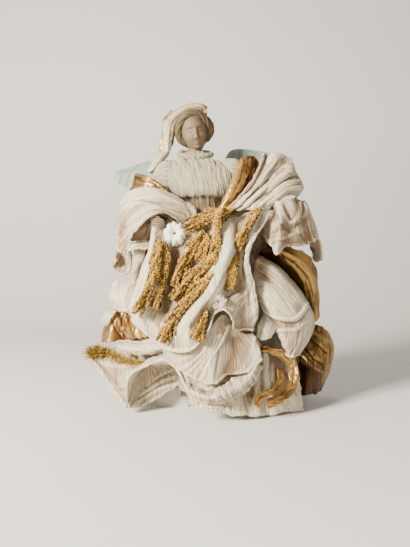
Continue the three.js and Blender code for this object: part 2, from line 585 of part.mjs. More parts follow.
// Cloth flowers: a scalloped, rolled rim round a hollow, facing forward
const PETALS = [[0.2, 0], [0.85, 0.1], [1, 0.35], [0.75, 0.62], [0.4, 0.42], [0.12, 0.3]];
function flower(name, across, up, radius, petals) {
  const middle = resting(across, up, 2);
  add(name, "flower", solidOf(body((u, v) => {
    const [out, lift] = PETALS[Math.round(v * (PETALS.length - 1))];
    const angle = 2 * Math.PI * u;
    const reach = radius * out * (1 + 0.1 * Math.cos(petals * angle));
    const [across, up] = [reach * Math.cos(angle), reach * Math.sin(angle)];
    return middle.clone().add(new THREE.Vector3(across, -lift * radius, up));
  }, 2 * petals, PETALS.length - 1)));
}
flower("flower_large", -26, 168, 9, 7);
flower("flower_small", 22, 96, 7, 6);

const mossPath = [[-108, 50], [-95, 50], [-82, 45], [-69, 41], [-57, 41]];
add("moss", "moss", solidOf(bar(mossPath.map(([across, up]) => resting(across, up - 3, 4.5)), 6, 5,
  (v) => 2 + 7 * Math.sin(Math.PI * (0.25 + 0.75 * v)), 0.5)));

// The mantle down the back, and the wings behind it
cloth("mantle_back", [
  [[-26, 229, 16], [-50, 170, 22], [-62, 100, 12], [-70, 28, 14]],
  [[-35, 229, 14], [-60, 170, 27], [-75, 100, 28], [-82, 28, 30]],
  [[-28, 232, 21], [-44, 170, 39], [-54, 100, 47], [-66, 22, 52]],
  [[-18, 234, 20], [-28, 170, 35], [-37, 100, 46], [-44, 18, 52]],
  [[-10, 236, 26], [-16, 170, 49], [-20, 100, 61], [-22, 15, 69]],
  [[3, 237, 22], [5, 170, 43], [5, 100, 54], [5, 15, 60]],
  [[16, 237, 26], [26, 170, 49], [32, 100, 61], [36, 15, 69]],
  [[28, 236, 20], [45, 170, 37], [52, 100, 46], [60, 18, 52]],
  [[42, 233, 20], [66, 170, 38], [78, 100, 46], [84, 22, 52]],
  [[52, 230, 14], [85, 170, 21], [100, 100, 26], [105, 24, 30]],
  [[44, 229, 15], [68, 170, 15], [84, 100, 12], [99, 26, 14]],
], 14, 4);

cloth("wing_left", [
  [[-6, 236, 31], [-28, 240, 25], [-50, 240, 27], [-69, 234, 28], [-84, 229, 28]],
  [[-8, 228, 34], [-28, 230, 28], [-50, 228, 30], [-70, 224, 30], [-86, 223, 28]],
  [[-8, 216, 41], [-28, 216, 33], [-50, 209, 32], [-67, 210, 31], [-82, 216, 28]],
], 3, 7, "wing");

cloth("wing_right", [
  [[6, 236, 31], [22, 242, 27], [35, 251, 29], [62, 248, 30], [91, 243, 29]],
  [[8, 228, 35], [22, 230, 31], [40, 232, 31], [62, 230, 31], [93, 235, 29]],
  [[8, 216, 42], [22, 216, 38], [40, 210, 35], [64, 213, 32], [90, 228, 29]],
], 3, 7, "wing");

// Each piece is cut clear of the ones before it, once more where its simpler form still meets
// one, and its largest part is kept.
const group = new THREE.Group();
const kept = [];
function cutClear(solid, form) {
  let left = solid;
  for (const other of kept) {
    if (left.intersect(other[form]).volume() > 0) left = left.subtract(other.grown);
  }
  return left;
}
for (const { name, colour, solid } of pieces) {
  const simple = cutClear(solid, "grown").simplify(FINENESS);
  const [largest] = cutClear(simple, "own").decompose().sort((a, b) => b.volume() - a.volume());
  kept.push({ own: largest, grown: grown(largest, GAP) });
  const material = new THREE.MeshStandardMaterial({
    color: COLOURS[colour],
    roughness: colour === "gold" ? 0.4 : 0.85,
    metalness: colour === "gold" ? 0.7 : 0,
  });
  const mesh = new THREE.Mesh(geometryOf(largest), material);
  mesh.name = name;
  group.add(mesh);
}

export default group;
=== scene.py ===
# %% [markdown]
# # An angel doll in stiffened cloth
# This lesson dresses the plain solids of a table-top angel doll: a porcelain head in a wig and a veil, a
# crinkled cotton gown, stiffened cotton drapery lined with gold cloth, and dried grasses held in the lap.
# The solids are the fixed frame. Every finished piece is made here beside them, in metres, in their place.

# %% Load the frame
import math
import bpy
import numpy as np
from mathutils import Matrix, Vector
from mathutils.bvhtree import BVHTree


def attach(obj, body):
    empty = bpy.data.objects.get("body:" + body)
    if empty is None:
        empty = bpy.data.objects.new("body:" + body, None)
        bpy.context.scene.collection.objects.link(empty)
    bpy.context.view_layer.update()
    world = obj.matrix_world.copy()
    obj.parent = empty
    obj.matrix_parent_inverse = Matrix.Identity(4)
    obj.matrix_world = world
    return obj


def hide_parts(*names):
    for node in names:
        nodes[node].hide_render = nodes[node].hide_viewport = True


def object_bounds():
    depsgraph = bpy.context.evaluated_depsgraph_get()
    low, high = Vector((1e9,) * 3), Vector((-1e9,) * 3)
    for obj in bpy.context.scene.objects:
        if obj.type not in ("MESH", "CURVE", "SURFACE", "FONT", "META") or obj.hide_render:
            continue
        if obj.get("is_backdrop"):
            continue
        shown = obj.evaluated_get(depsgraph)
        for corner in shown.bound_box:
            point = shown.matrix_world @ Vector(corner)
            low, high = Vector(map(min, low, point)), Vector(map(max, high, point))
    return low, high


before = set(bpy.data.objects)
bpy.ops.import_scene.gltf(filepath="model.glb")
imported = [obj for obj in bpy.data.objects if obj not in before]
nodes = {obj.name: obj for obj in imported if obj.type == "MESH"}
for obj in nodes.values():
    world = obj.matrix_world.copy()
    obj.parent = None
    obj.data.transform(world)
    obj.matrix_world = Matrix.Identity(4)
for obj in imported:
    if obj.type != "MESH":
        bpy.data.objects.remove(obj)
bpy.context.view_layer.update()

# %% [markdown]
# The drapery was laid out as it is seen from in front. A place is three numbers in millimetres: across and
# up on the upright plane through the body, and how far behind that plane the point lies. A near point and
# a far one on the same line of sight share their first two numbers, so folds can be drawn as in a picture.

# %% Places seen from in front
MM = 0.001
EYE = {"across": 5, "up": 127, "distance": 520}
BODY_PLANE = -10


def placed(points):
    """Places seen from in front, as x, y and z in millimetres."""
    across, up, behind = np.moveaxis(np.asarray(points, float), -1, 0)
    near = (EYE["distance"] + behind) / EYE["distance"]
    x = EYE["across"] + (across - EYE["across"]) * near
    z = EYE["up"] + (up - EYE["up"]) * near
    return np.stack([x, behind + BODY_PLANE, z], -1)


def seen(points):
    """Where x, y and z in millimetres are seen from in front: across and up."""
    near = (EYE["distance"] + points[..., 1] - BODY_PLANE) / EYE["distance"]
    across = EYE["across"] + (points[..., 0] - EYE["across"]) / near
    up = EYE["up"] + (points[..., 2] - EYE["up"]) / near
    return np.stack([across, up], -1)


# %% [markdown]
# The camera stands at that eye and looks level along +Y, as the picture was taken. Its lens makes one
# millimetre on the body's plane one pixel of a picture 547 pixels tall.

# %% The camera
PICTURE_HEIGHT = 547
SENSOR = 36
NEAREST = 0.01

bpy.ops.object.select_all(action="DESELECT")
bpy.ops.object.camera_add(
    location=(EYE["across"] * MM, (BODY_PLANE - EYE["distance"]) * MM, EYE["up"] * MM),
    rotation=(math.pi / 2, 0, 0),
)
camera = bpy.context.object
camera.name = "eye"
camera.data.sensor_width = SENSOR
camera.data.lens = SENSOR * EYE["distance"] / PICTURE_HEIGHT
camera.data.clip_start = NEAREST
bpy.context.scene.camera = camera
print("camera: %.1f mm lens at %.0f mm from the body" % (camera.data.lens, EYE["distance"]))

# %% [markdown]
# A studio floor that sweeps up on all four sides gives one pale ground with no line across it, from
# wherever the doll is seen. A grid is enough: its rows past a start are lifted along a quarter circle,
# which is a sine and a cosine of the distance, and then straight up.

# %% The floor
SWEEP = {"back": 0.55, "other_sides": 1.7, "radius": 0.6, "size": 8.0, "cells": 200}


def swept(reach, start):
    """How far out, and how far up, the floor lies once it is bent upwards past start."""
    past = max(0.0, reach - start)
    turn = min(past / SWEEP["radius"], math.pi / 2)
    straight = max(0.0, past - SWEEP["radius"] * math.pi / 2)
    out = min(reach, start) + SWEEP["radius"] * math.sin(turn)
    return out, SWEEP["radius"] * (1 - math.cos(turn)) + straight


bpy.ops.mesh.primitive_grid_add(
    x_subdivisions=SWEEP["cells"], y_subdivisions=SWEEP["cells"], size=SWEEP["size"]
)
floor = bpy.context.object
floor.name = "studio_floor"
for vertex in floor.data.vertices:
    start = SWEEP["back"] if vertex.co.y > 0 else SWEEP["other_sides"]
    out_x, up_x = swept(abs(vertex.co.x), SWEEP["other_sides"])
    out_y, up_y = swept(abs(vertex.co.y), start)
    vertex.co = (math.copysign(out_x, vertex.co.x), math.copysign(out_y, vertex.co.y), up_x + up_y)
bpy.ops.object.shade_smooth()
floor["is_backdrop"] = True

# %% [markdown]
# Soft light from large lamps shows cloth best: the key comes from the left and above, a weak one fills
# from the right, one more lights the top, and the pale walls of the floor keep the hollows open.

# %% The light
LAMPS = {
    "key": {"at": (-1.0, -0.95, 0.65), "size": 0.35, "watts": 90, "colour": (1, 0.92, 0.77)},
    "fill": {"at": (0.9, -1.0, 0.15), "size": 0.7, "watts": 2.5, "colour": (1, 0.84, 0.68)},
    "top": {"at": (0.1, 0.3, 1.2), "size": 0.8, "watts": 2, "colour": (1, 0.96, 0.9)},
}
AIM = Vector((0, -0.02, 0.13))
SURROUNDING = {"Color": (1.0, 0.8, 0.66, 1), "Strength": 0.02}


def lamp(name, at, size, watts, colour):
    """A square soft lamp that looks at the middle of the doll."""
    bpy.ops.object.light_add(type="AREA", location=at)
    light = bpy.context.object
    light.name = name
    light.data.size = size
    light.data.energy = watts
    light.data.color = colour
    light.rotation_euler = (AIM - Vector(at)).to_track_quat("-Z", "Y").to_euler()


for name, lamp_is in LAMPS.items():
    lamp(name, **lamp_is)
world = bpy.data.worlds.new("studio")
world.use_nodes = True
for socket, value in SURROUNDING.items():
    world.node_tree.nodes["Background"].inputs[socket].default_value = value
bpy.context.scene.world = world

# %% [markdown]
# ## Finishes
# A material here is a small graph of nodes. This helper adds one node, gives its inputs either a value or
# a link from another node, and returns it, so that each finish below reads as a short list.

# %% A helper for nodes
def node(tree, kind, inputs=(), **settings):
    """A new node; inputs maps a socket's name or number to a value or to another socket."""
    made = tree.nodes.new("ShaderNode" + kind)
    for name, value in settings.items():
        setattr(made, name, value)
    for name, value in dict(inputs).items():
        if isinstance(value, bpy.types.NodeSocket):
            tree.links.new(value, made.inputs[name])
        else:
            made.inputs[name].default_value = value
    return made


def maths(tree, operation, *values, **settings):
    """What a Math node makes of values, each a number or a socket."""
    return node(tree, "Math", dict(enumerate(values)), operation=operation, **settings).outputs["Value"]


def stretched(tree, value, old_range, new_range, **settings):
    """A value carried from one range over to another."""
    inputs = dict(enumerate((value, *old_range, *new_range)))
    return node(tree, "MapRange", inputs, **settings).outputs["Result"]


def noise(tree, place, scale, detail, **more):
    """Soft random heights from 0 to 1 at each place."""
    inputs = {"Vector": place, "Scale": scale, "Detail": detail, **more}
    return node(tree, "TexNoise", inputs).outputs["Fac"]


def drawn_out(tree, place, share):
    """Places squeezed along the cloth to that share, which draws a pattern out along it."""
    return node(tree, "Mapping", {"Vector": place, "Scale": (1.0, share, 1.0)}).outputs["Vector"]


def stored(tree, name, output="Fac"):
    """What a piece stores at its points under that name."""
    return node(tree, "Attribute", attribute_name=name).outputs[output]


def surface_uv(tree):
    """The cloth's own coordinates: one unit is 100 mm of cloth."""
    return node(tree, "UVMap", uv_map="UVMap").outputs["UV"]


def object_place(tree):
    """The place on the doll, in metres."""
    return node(tree, "TexCoord").outputs["Object"]


# %% [markdown]
# Every finish starts with a Principled shader. What is the same all over is set on the shader itself; a
# colour ramp and a bump bring in what changes from place to place.

# %% Helpers for finishes
def finish(name, **shader_values):
    """A new material; its shader's own sockets take the values that are the same all over."""
    material = bpy.data.materials.new(name)
    material.use_nodes = True
    shader = material.node_tree.nodes["Principled BSDF"]
    for socket, value in shader_values.items():
        shader.inputs[socket.replace("_", " ")].default_value = value
    return material, material.node_tree, shader


def ramp(tree, value, stops):
    """A colour ramp over value; stops are (position, colour)."""
    made = node(tree, "ValToRGB", {"Fac": value})
    while len(made.color_ramp.elements) < len(stops):
        made.color_ramp.elements.new(1)
    for element, (position, colour) in zip(made.color_ramp.elements, stops):
        element.position = position
        element.color = (*colour, 1)
    return made.outputs["Color"]


def coloured(tree, shader, colour):
    """Gives the shader its colour."""
    tree.links.new(colour, shader.inputs["Base Color"])


def bumped(tree, shader, height, deep):
    """Lays a relief over the surface, that many millimetres deep where height is 1."""
    relief = node(tree, "Bump", {"Height": height, "Distance": deep * MM, "Strength": 1})
    tree.links.new(relief.outputs["Normal"], shader.inputs["Normal"])


# %% [markdown]
# The drapery is thin cotton, dipped in size and left to stiffen. It has yellowed. Its colour runs from
# pinkish brown in the hollows to nearly white on the worn ridges, which is partly that ageing and partly
# painted shade in the hollows and painted light on the ridges. Each cloth piece stores how high every point
# stands above its neighbourhood in an attribute called ridge, which a colour ramp turns into that ageing
# and painted light. The weave is two crossed waves in the cloth's own coordinates, so it follows every
# fold.

# %% The cotton finishes
def cotton(name, hollow, middle, crest, weave=150):
    """Crinkled cotton whose colour goes from its hollows to its ridges."""
    material, tree, shader = finish(name, Roughness=0.9, Sheen_Weight=0.12, Sheen_Roughness=0.5,
                                    Specular_IOR_Level=0.25)
    uv = surface_uv(tree)
    blotch = stretched(tree, noise(tree, uv, scale=4.5, detail=5, Roughness=0.6), (0.3, 0.7), (-0.1, 0.1))
    # The ridge darkens the hollows as painted shade and lightens the ridges as painted light, over the
    # ageing.
    aged_and_shaded = maths(tree, "ADD", stored(tree, "ridge"), blotch, use_clamp=True)
    coloured(tree, shader, ramp(tree, aged_and_shaded, [(0.08, hollow), (0.5, middle), (0.85, crest)]))
    thread = {"Vector": uv, "Scale": weave, "Distortion": 0.6}
    wefts, warps = (node(tree, "TexWave", thread, bands_direction=way).outputs["Fac"] for way in "XY")
    crepe = noise(tree, uv, scale=55, detail=6, Roughness=0.65)
    woven = maths(tree, "MULTIPLY_ADD", crepe, 6.0, maths(tree, "ADD", wefts, warps))
    wrung = noise(tree, drawn_out(tree, uv, 0.16), scale=48, detail=3, Distortion=0.8)
    creases = stretched(tree, wrung, (0.35, 0.55), (0, 14))
    bumped(tree, shader, maths(tree, "ADD", woven, creases), 0.12)
    return material


COTTON = cotton("aged_cotton_with_painted_shade", (0.31, 0.195, 0.11), (0.7, 0.55, 0.38), (0.95, 0.86, 0.64))
GOWN_COTTON = cotton("gown_cotton", (0.2, 0.14, 0.08), (0.47, 0.4, 0.27), (0.58, 0.53, 0.4), weave=190)
# A darker cotton paints the shade inside the sleeve.
SHADED_INNER_COTTON = cotton("inner_cotton_painted_shade", (0.2, 0.11, 0.06), (0.36, 0.23, 0.14), (0.5, 0.35, 0.24))

# %% [markdown]
# Gold cloth is a film of metal on a thin weave. It is creased all over, so its shine breaks up into small
# facets: a bump of cell noise gives the creases, and the metal darkens to brown where it has rubbed off.
# It is also browner in its hollows and where strokes lower its ridge, which is painted shade.

# %% The gold finishes
def gold_cloth(name, worn, bright, rough, crease=14.0, metal=0.85):
    """Creased metallic cloth; crease is how many creases cross 100 mm of it."""
    material, tree, shader = finish(name, Metallic=metal)
    uv = surface_uv(tree)
    wear = noise(tree, uv, scale=9, detail=6, Roughness=0.7)
    # Painted shade: the gold is browner in its hollows and where strokes lower its ridge, besides where it
    # is rubbed.
    rubbed_and_shaded = maths(tree, "MULTIPLY", maths(tree, "ADD", wear, stored(tree, "ridge")), 0.5)
    coloured(tree, shader, ramp(tree, rubbed_and_shaded, [(0.32, worn), (0.62, bright)]))
    dull = stretched(tree, wear, (0.3, 0.7), (rough + 0.15, rough - 0.08))
    tree.links.new(dull, shader.inputs["Roughness"])
    cells = node(tree, "TexVoronoi", {"Vector": drawn_out(tree, uv, 0.35), "Scale": crease})
    grain = noise(tree, uv, scale=60, detail=5)
    bumped(tree, shader, maths(tree, "MULTIPLY_ADD", grain, 0.3, cells.outputs["Distance"]), 1.2)
    return material


GOLD = gold_cloth("gold_cloth", (0.06, 0.028, 0.009), (0.4, 0.24, 0.08), rough=0.32)
GOLD_SHEER = gold_cloth("sheer_gold", (0.16, 0.07, 0.02), (0.68, 0.4, 0.14), rough=0.3, crease=11,
                        metal=0.7)
GOLD_RIBBON = gold_cloth("gold_ribbon", (0.08, 0.035, 0.01), (0.48, 0.28, 0.085), rough=0.28, crease=18)

# %% [markdown]
# ## Cloth from fold lines
# A cloth-worker thinks in folds: a line runs down each ridge and each hollow, and the cloth passes
# smoothly from one to the next. A smooth curve through points is a Catmull-Rom spline. Here the spline
# runs down every fold line at once, and then across from line to line, which gives the whole surface.

# %% Curves and surfaces
def through(points, t, closed=False):
    """Points at each t, from 0 to 1, on smooth curves; every column of points is one curve."""
    spans = len(points) - (0 if closed else 1)
    place = np.clip(t, 0, 1) * spans
    first = np.minimum(place.astype(int), spans - 1)
    part = (place - first)[:, None, None]
    if closed:
        a, b, c, d = (points[(first + k) % spans] for k in (-1, 0, 1, 2))
    else:
        ends = [2 * points[0] - points[1]], [2 * points[-1] - points[-2]]
        longer = np.concatenate([ends[0], points, ends[1]])
        a, b, c, d = (longer[first + k] for k in range(4))
    ab, bc, cd = (np.maximum(np.linalg.norm(q - p, axis=-1, keepdims=True), 1e-6) ** 0.5
                  for p, q in ((a, b), (b, c), (c, d)))
    start = ((b - a) / ab - (c - a) / (ab + bc) + (c - b) / bc) * bc
    end = ((c - b) / bc - (d - b) / (bc + cd) + (d - c) / cd) * bc
    curve = (2 * b - 2 * c + start + end) * part + (3 * c - 3 * b - 2 * start - end)
    return b + part * (start + part * curve)


def on_curve(points, t):
    """Places at each t, from 0 to 1, on the one smooth curve through points."""
    return through(np.asarray(points, float)[:, None, :], t)[:, 0]


def fold_surface(lines, u, v, closed=False):
    """The surface through fold lines: rows go down the lines by v, columns across them by u."""
    down = through(placed(lines).transpose(1, 0, 2), v)
    return through(down.transpose(1, 0, 2), u, closed).transpose(1, 0, 2)


# %% [markdown]
# Stiff crinkled cotton has creases of three sizes: folds a hand makes, pleats from wringing the wet cloth,
# and the fine pucker of the weave. Smooth random heights on a grid, stretched along the cloth, give the
# smaller two. The seed is a number of our own, so every run makes the same creases.

# %% Smooth noise for the creases
SWELLS = 128


def smooth_noise(x, y, seed):
    """Smooth random heights from -1 to 1 over the points x, y; one unit is one swell."""
    heights = np.random.default_rng(seed).uniform(-1, 1, (SWELLS, SWELLS))
    i, j = np.floor(x).astype(int), np.floor(y).astype(int)
    p, q = x - i, y - j
    p, q = p * p * (3 - 2 * p), q * q * (3 - 2 * q)

    def height(di, dj):
        return heights[(i + di) % SWELLS, (j + dj) % SWELLS]

    near = height(0, 0) * (1 - p) + height(1, 0) * p
    far = height(0, 1) * (1 - p) + height(1, 1) * p
    return near * (1 - q) + far * q


CREPE = {"drift": 1.6, "ribs": 0.6, "grooves": 0.75, "pucker": 0.3}


def crinkle(across, along, seed, pitch):
    """Crepe creases that run along the cloth: fine sharp grooves on low ribs, about 1 high."""
    drift = CREPE["drift"] * smooth_noise(across / 17, along / 21, seed)
    ribs = smooth_noise(across / pitch + drift, along / (7 * pitch), seed + 1)
    fine = smooth_noise(2.2 * across / pitch + drift, along / (2.4 * pitch), seed + 2)
    pucker = smooth_noise(across / 2.1, along / 2.9, seed + 3)
    grooved = CREPE["ribs"] * np.tanh(2.5 * np.abs(ribs)) + CREPE["grooves"] * np.tanh(3.5 * np.abs(fine))
    return grooved - 1 + CREPE["pucker"] * pucker


# %% [markdown]
# A crease that shows in the picture is drawn as a stroke: a line of places across and up, how wide the
# crease is, and how high it stands, or how deep it sinks when the height is below nought.

# %% Strokes
STROKE_STEPS = 14


def from_line(at, line):
    """How far each point of at is from a line through places, all across and up."""
    best = np.full(at.shape[:-1], np.inf)
    for start, end in zip(np.asarray(line[:-1], float), np.asarray(line[1:], float)):
        step = end - start
        share = np.clip(((at - start) @ step) / (step @ step), 0, 1)
        best = np.minimum(best, np.linalg.norm(at - start - share[..., None] * step, axis=-1))
    return best


def stroked(at, strokes):
    """The height that strokes give each point; a stroke is (line, width, height)."""
    height = np.zeros(at.shape[:-1])
    for line, width, peak in strokes:
        rounded = on_curve(line, np.linspace(0, 1, STROKE_STEPS))
        height += peak * np.exp(-((from_line(at, rounded) / width) ** 2))
    return height


# %% [markdown]
# Every cloth piece starts as a flat grid, the shape of cloth off the roll. Its points are then moved onto
# the fold surface, creased along the normal, and Solidify gives it thickness. The grid's own map is
# rescaled to real millimetres, so the weave keeps its size. A narrow bead along an edge is its hem.

# %% Helpers for grids
UV_UNIT = 100
LEVEL_TONE = 0.55
FOLD_SHARE = 0.32
PUCKER_REACH = 2.2
PUCKER_SHARE = 0.15
STEEPNESS = 0.16


def flat_grid(name, columns, rows):
    """A new flat grid, and the u and v of its points, from 0 to 1."""
    bpy.ops.object.select_all(action="DESELECT")
    bpy.ops.mesh.primitive_grid_add(x_subdivisions=columns, y_subdivisions=rows, size=1)
    piece = bpy.context.object
    piece.name = name
    return piece, np.linspace(0, 1, columns + 1), np.linspace(0, 1, rows + 1)


def lengths(points):
    """How far along the cloth each point is, across and down, in millimetres."""
    steps_across = np.linalg.norm(np.diff(points, axis=1), axis=-1)
    steps_down = np.linalg.norm(np.diff(points, axis=0), axis=-1)
    across = np.pad(np.cumsum(steps_across, 1), ((0, 0), (1, 0)))
    across = across - across.mean(1, keepdims=True) + across.mean()
    down = np.pad(np.cumsum(steps_down, 0), ((1, 0), (0, 0)))
    return across, down


def unit(vectors):
    """Vectors brought to a length of one."""
    return vectors / np.maximum(np.linalg.norm(vectors, axis=-1, keepdims=True), 1e-9)


def normals(points):
    """Unit normals of a grid of points."""
    return unit(np.cross(np.gradient(points, axis=1), np.gradient(points, axis=0)))


def blurred(values, rows, columns):
    """Values averaged over a window of 2 rows + 1 by 2 columns + 1 points."""
    for axis, reach in ((0, rows), (1, columns)):
        reach = max(1, min(reach, values.shape[axis] // 2))
        pad = [(0, 0)] * values.ndim
        pad[axis] = (reach + 1, reach)
        total = np.cumsum(np.pad(values, pad, mode="edge"), axis=axis)
        ahead = np.take(total, range(2 * reach + 1, total.shape[axis]), axis=axis)
        behind = np.take(total, range(total.shape[axis] - 2 * reach - 1), axis=axis)
        values = (ahead - behind) / (2 * reach + 1)
    return values


def ridges(points, out, reach):
    """How high each point stands over its neighbourhood, from 0 in a hollow to 1 on a ridge."""
    step = np.linalg.norm(np.diff(points, axis=0), axis=-1).mean()
    pace = np.linalg.norm(np.diff(points, axis=1), axis=-1).mean()
    ridge = np.full(points.shape[:-1], LEVEL_TONE)
    for scale, share in ((reach, FOLD_SHARE), (PUCKER_REACH, PUCKER_SHARE)):
        smooth = blurred(points, round(scale / step), round(scale / pace))
        height = ((points - smooth) * out).sum(-1)
        ridge += share * np.tanh(height / (STEEPNESS * scale))
    return ridge


# %% [markdown]
# Four small steps come back in every piece: moving the points of a mesh, storing a number at each of
# them, giving a sheet its thickness, and joining pieces. The last step gives a piece its finish, hides the
# solid it stands for, and prints its size.

# %% Helpers for pieces
def points_of(piece):
    """The points of a piece, in its own units."""
    points = np.empty(3 * len(piece.data.vertices))
    piece.data.vertices.foreach_get("co", points)
    return points.reshape(-1, 3)


def move(piece, points):
    """Moves the points of a piece to places in millimetres."""
    piece.data.vertices.foreach_set("co", (points * MM).ravel())


def store(mesh, name, values):
    """Stores a number at each point of a mesh."""
    attribute = mesh.attributes.new(name, "FLOAT", "POINT")
    attribute.data.foreach_set("value", np.ravel(values).astype(np.float32))


def lay(piece, points, across, down, ridge):
    """Moves a grid's points into place and writes its map and its ridge attribute."""
    mesh = piece.data
    move(piece, points)
    corner = np.empty(len(mesh.loops), np.int32)
    mesh.loops.foreach_get("vertex_index", corner)
    uv = np.stack([across.ravel(), down.ravel()], -1)[corner] / UV_UNIT
    mesh.uv_layers[0].name = "UVMap"
    mesh.uv_layers[0].data.foreach_set("uv", uv.ravel())
    store(mesh, "ridge", np.clip(ridge, 0, 1))
    mesh.update()


def pick(*pieces):
    """Selects those pieces alone; the first is the active one."""
    bpy.ops.object.select_all(action="DESELECT")
    for piece in pieces:
        piece.select_set(True)
    bpy.context.view_layer.objects.active = pieces[0]


def joined(pieces):
    """One piece out of several: the first takes in the others."""
    pick(*pieces)
    bpy.ops.object.join()
    return pieces[0]


def thicken(piece, thickness):
    """Gives a sheet its thickness, half to each side."""
    solid = piece.modifiers.new("thickness", "SOLIDIFY")
    solid.thickness = thickness * MM
    solid.offset = 0
    pick(piece)
    bpy.ops.object.modifier_apply(modifier=solid.name)


def done(piece, material, slot, *stands_for):
    """Smooth shading, finish and body: the last step of every piece. The slot is not used."""
    piece.data.materials.clear()
    piece.data.materials.append(material)
    piece.data.polygons.foreach_set("use_smooth", [True] * len(piece.data.polygons))
    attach(piece, "root")
    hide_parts(*stands_for)
    triangles = sum(len(face.vertices) - 2 for face in piece.data.polygons)
    low, high = (Vector(corner) for corner in (piece.bound_box[0], piece.bound_box[6]))
    print("%s: %d triangles, %.0f x %.0f x %.0f mm" % (piece.name, triangles, *((high - low) / MM)))


# %% [markdown]
# A cut edge of stiffened cloth is never quite straight. Near each edge the points wander in the cloth's
# own plane, by up to about a millimetre, and the wandering dies away inside the cloth.

# %% Wavy edges
WANDER = {"length": 4.5, "reach": 1.1, "fades_over": 3}


def wavy_edges(points, edges, seed):
    """How far each point moves in the plane of the cloth so that the four edges wander a little."""
    moves = np.zeros(points.shape)
    for axis, sides, along in ((1, ("left", "right"), "top"), (0, ("top", "end"), "left")):
        tangent = unit(np.gradient(points, axis=axis))
        for i, side in enumerate(sides):
            row = np.full(edges[along].shape, 3.0 * i + axis)
            wander = smooth_noise(edges[along] / WANDER["length"], row, seed + 5)
            fading = np.exp(-edges[side] / WANDER["fades_over"])
            moves += (WANDER["reach"] * wander * fading)[..., None] * tangent
    return moves


# %% [markdown]
# Each cloth's size is kept: the size it was cut to, the longest way across and down the finished
# surface. The area of the cut is worked out too, since a fan or a lobe is narrower at one end, but it is
# not kept.

# %% The sizes of a cloth
GRID = 1.1
SKIRT_ALONE = ("gown_skirt",)
COARSE = np.linspace(0, 1, 40)
STROKE_SHARE = 0.75
SWELL = {"height": 0.7, "across": 11, "along": 19}
FILM = {"slot": "gold", "thick": 0.9}
cloth_sizes = {}


def cut_size(points):
    """The flat size, and the area, of the cloth that covers a grid of points, in metres."""
    flat = tuple(max(10, round(side.max() - side.min())) * MM for side in lengths(points))
    cells = np.cross(np.diff(points, axis=0)[:, :-1], np.diff(points, axis=1)[:-1])
    area = np.linalg.norm(cells, axis=-1).sum() * MM * MM
    return flat, min(area, flat[0] * flat[1])


# %% [markdown]
# A rough surface gives the size, so that the grid has a cell to about every millimetre of cloth. It is
# laid on the fold surface and raised by the crepe, the strokes, a slow swell and the beads of its hems,
# and nothing may sink below the ground. Most cloths are cotton.

# %% One cloth
def cloth(name, node_name, lines, seed, pleat=0.5, pitch=4.0, strokes=(), painted_light=(), hem=(),
          hem_size=(1.0, 0.8), reach=9.0, rests_on=SKIRT_ALONE, fine=GRID, made_of=COTTON, slot="cloth",
          thick=1.5):
    """One stiffened cloth that stands for a solid; hem names the sides with a bead: left right top end.

    Painted light is given as strokes too: it paints shade on the cloth where its height is below nought,
    and light where it is above."""
    wide, long = (side.max() for side in lengths(fold_surface(lines, COARSE, COARSE)))
    piece, u, v = flat_grid(name, max(4, round(wide / fine)), max(4, round(long / fine)))
    points = fold_surface(lines, u, v)
    across, down = lengths(points)
    out = normals(points)
    out *= -1 if out[..., 1].mean() > 0 else 1
    height = pleat * crinkle(across, down, seed, pitch) + STROKE_SHARE * stroked(seen(points), strokes)
    height += SWELL["height"] * smooth_noise(across / SWELL["across"], down / SWELL["along"], seed + 4)
    edges = {"left": across - across.min(1, keepdims=True), "right": across.max(1, keepdims=True) - across,
             "top": down, "end": down.max(0, keepdims=True) - down}
    for side in hem:
        height += hem_size[1] * np.exp(-(((edges[side] - hem_size[0]) / hem_size[0]) ** 2))
    points = points + out * height[..., None] + wavy_edges(points, edges, seed)
    points[..., 2] = np.maximum(points[..., 2], thick)
    # The ridge and the painted light of the strokes become painted shade and light in the colour.
    lay(piece, points, across, down, ridges(points, out, reach) + stroked(seen(points), painted_light))
    thicken(piece, thick)
    done(piece, made_of, slot, node_name)
    flat, area = cut_size(points)
    cloth_sizes[name] = flat
    return piece


# %% [markdown]
# ## The mantle over the lap
# The widest cloth is held out like a tray at its two upper corners, so it hangs in a hollow between a
# rolled rim on the left and a strong slanting ridge, and it ends in a rolled lower edge.

# %% The lap cloth
APRON_LINES = [
    [[-41, 165, -28], [-49, 142, -33], [-58, 112, -38], [-64, 95, -43], [-61, 83, -48]],
    [[-46, 168, -40], [-54, 142, -48], [-63, 112, -54], [-70, 94, -56], [-66, 80, -56]],
    [[-46, 174, -46], [-51, 144, -58], [-58, 110, -66], [-64, 91, -68], [-57, 71, -68]],
    [[-37, 173, -42], [-40, 142, -50], [-47, 108, -60], [-52, 85, -66], [-47, 60, -70]],
    [[-20, 175, -38], [-25, 138, -46], [-32, 102, -58], [-37, 75, -68], [-33, 51, -76]],
    [[4, 181, -38], [4, 138, -52], [-6, 104, -66], [-22, 76, -76], [-23, 49, -80]],
    [[26, 183, -42], [27, 146, -67], [15, 110, -82], [-9, 80, -88], [-14, 49, -84]],
    [[36, 183, -39], [38, 138, -56], [26, 107, -68], [4, 78, -76], [-3, 53, -84]],
    [[44, 186, -39], [43, 138, -54], [36, 110, -62], [14, 92, -74], [11, 72, -82]],
    [[49, 188, -41], [44, 138, -56], [40, 111, -62], [20, 97, -74], [15, 85, -80]],
    [[54, 189, -42], [45, 138, -58], [44, 112, -62], [28, 99, -74], [23, 90, -82]],
    [[59, 190, -42], [46, 138, -59], [48, 112, -62], [36, 95, -70], [31, 83, -78]],
    [[64, 189, -41], [47, 140, -58], [51, 111, -60], [43, 88, -66], [33, 72, -70]],
    [[72, 189, -38], [49, 145, -57], [56, 110, -60], [58, 90, -61], [53, 70, -61]],
]
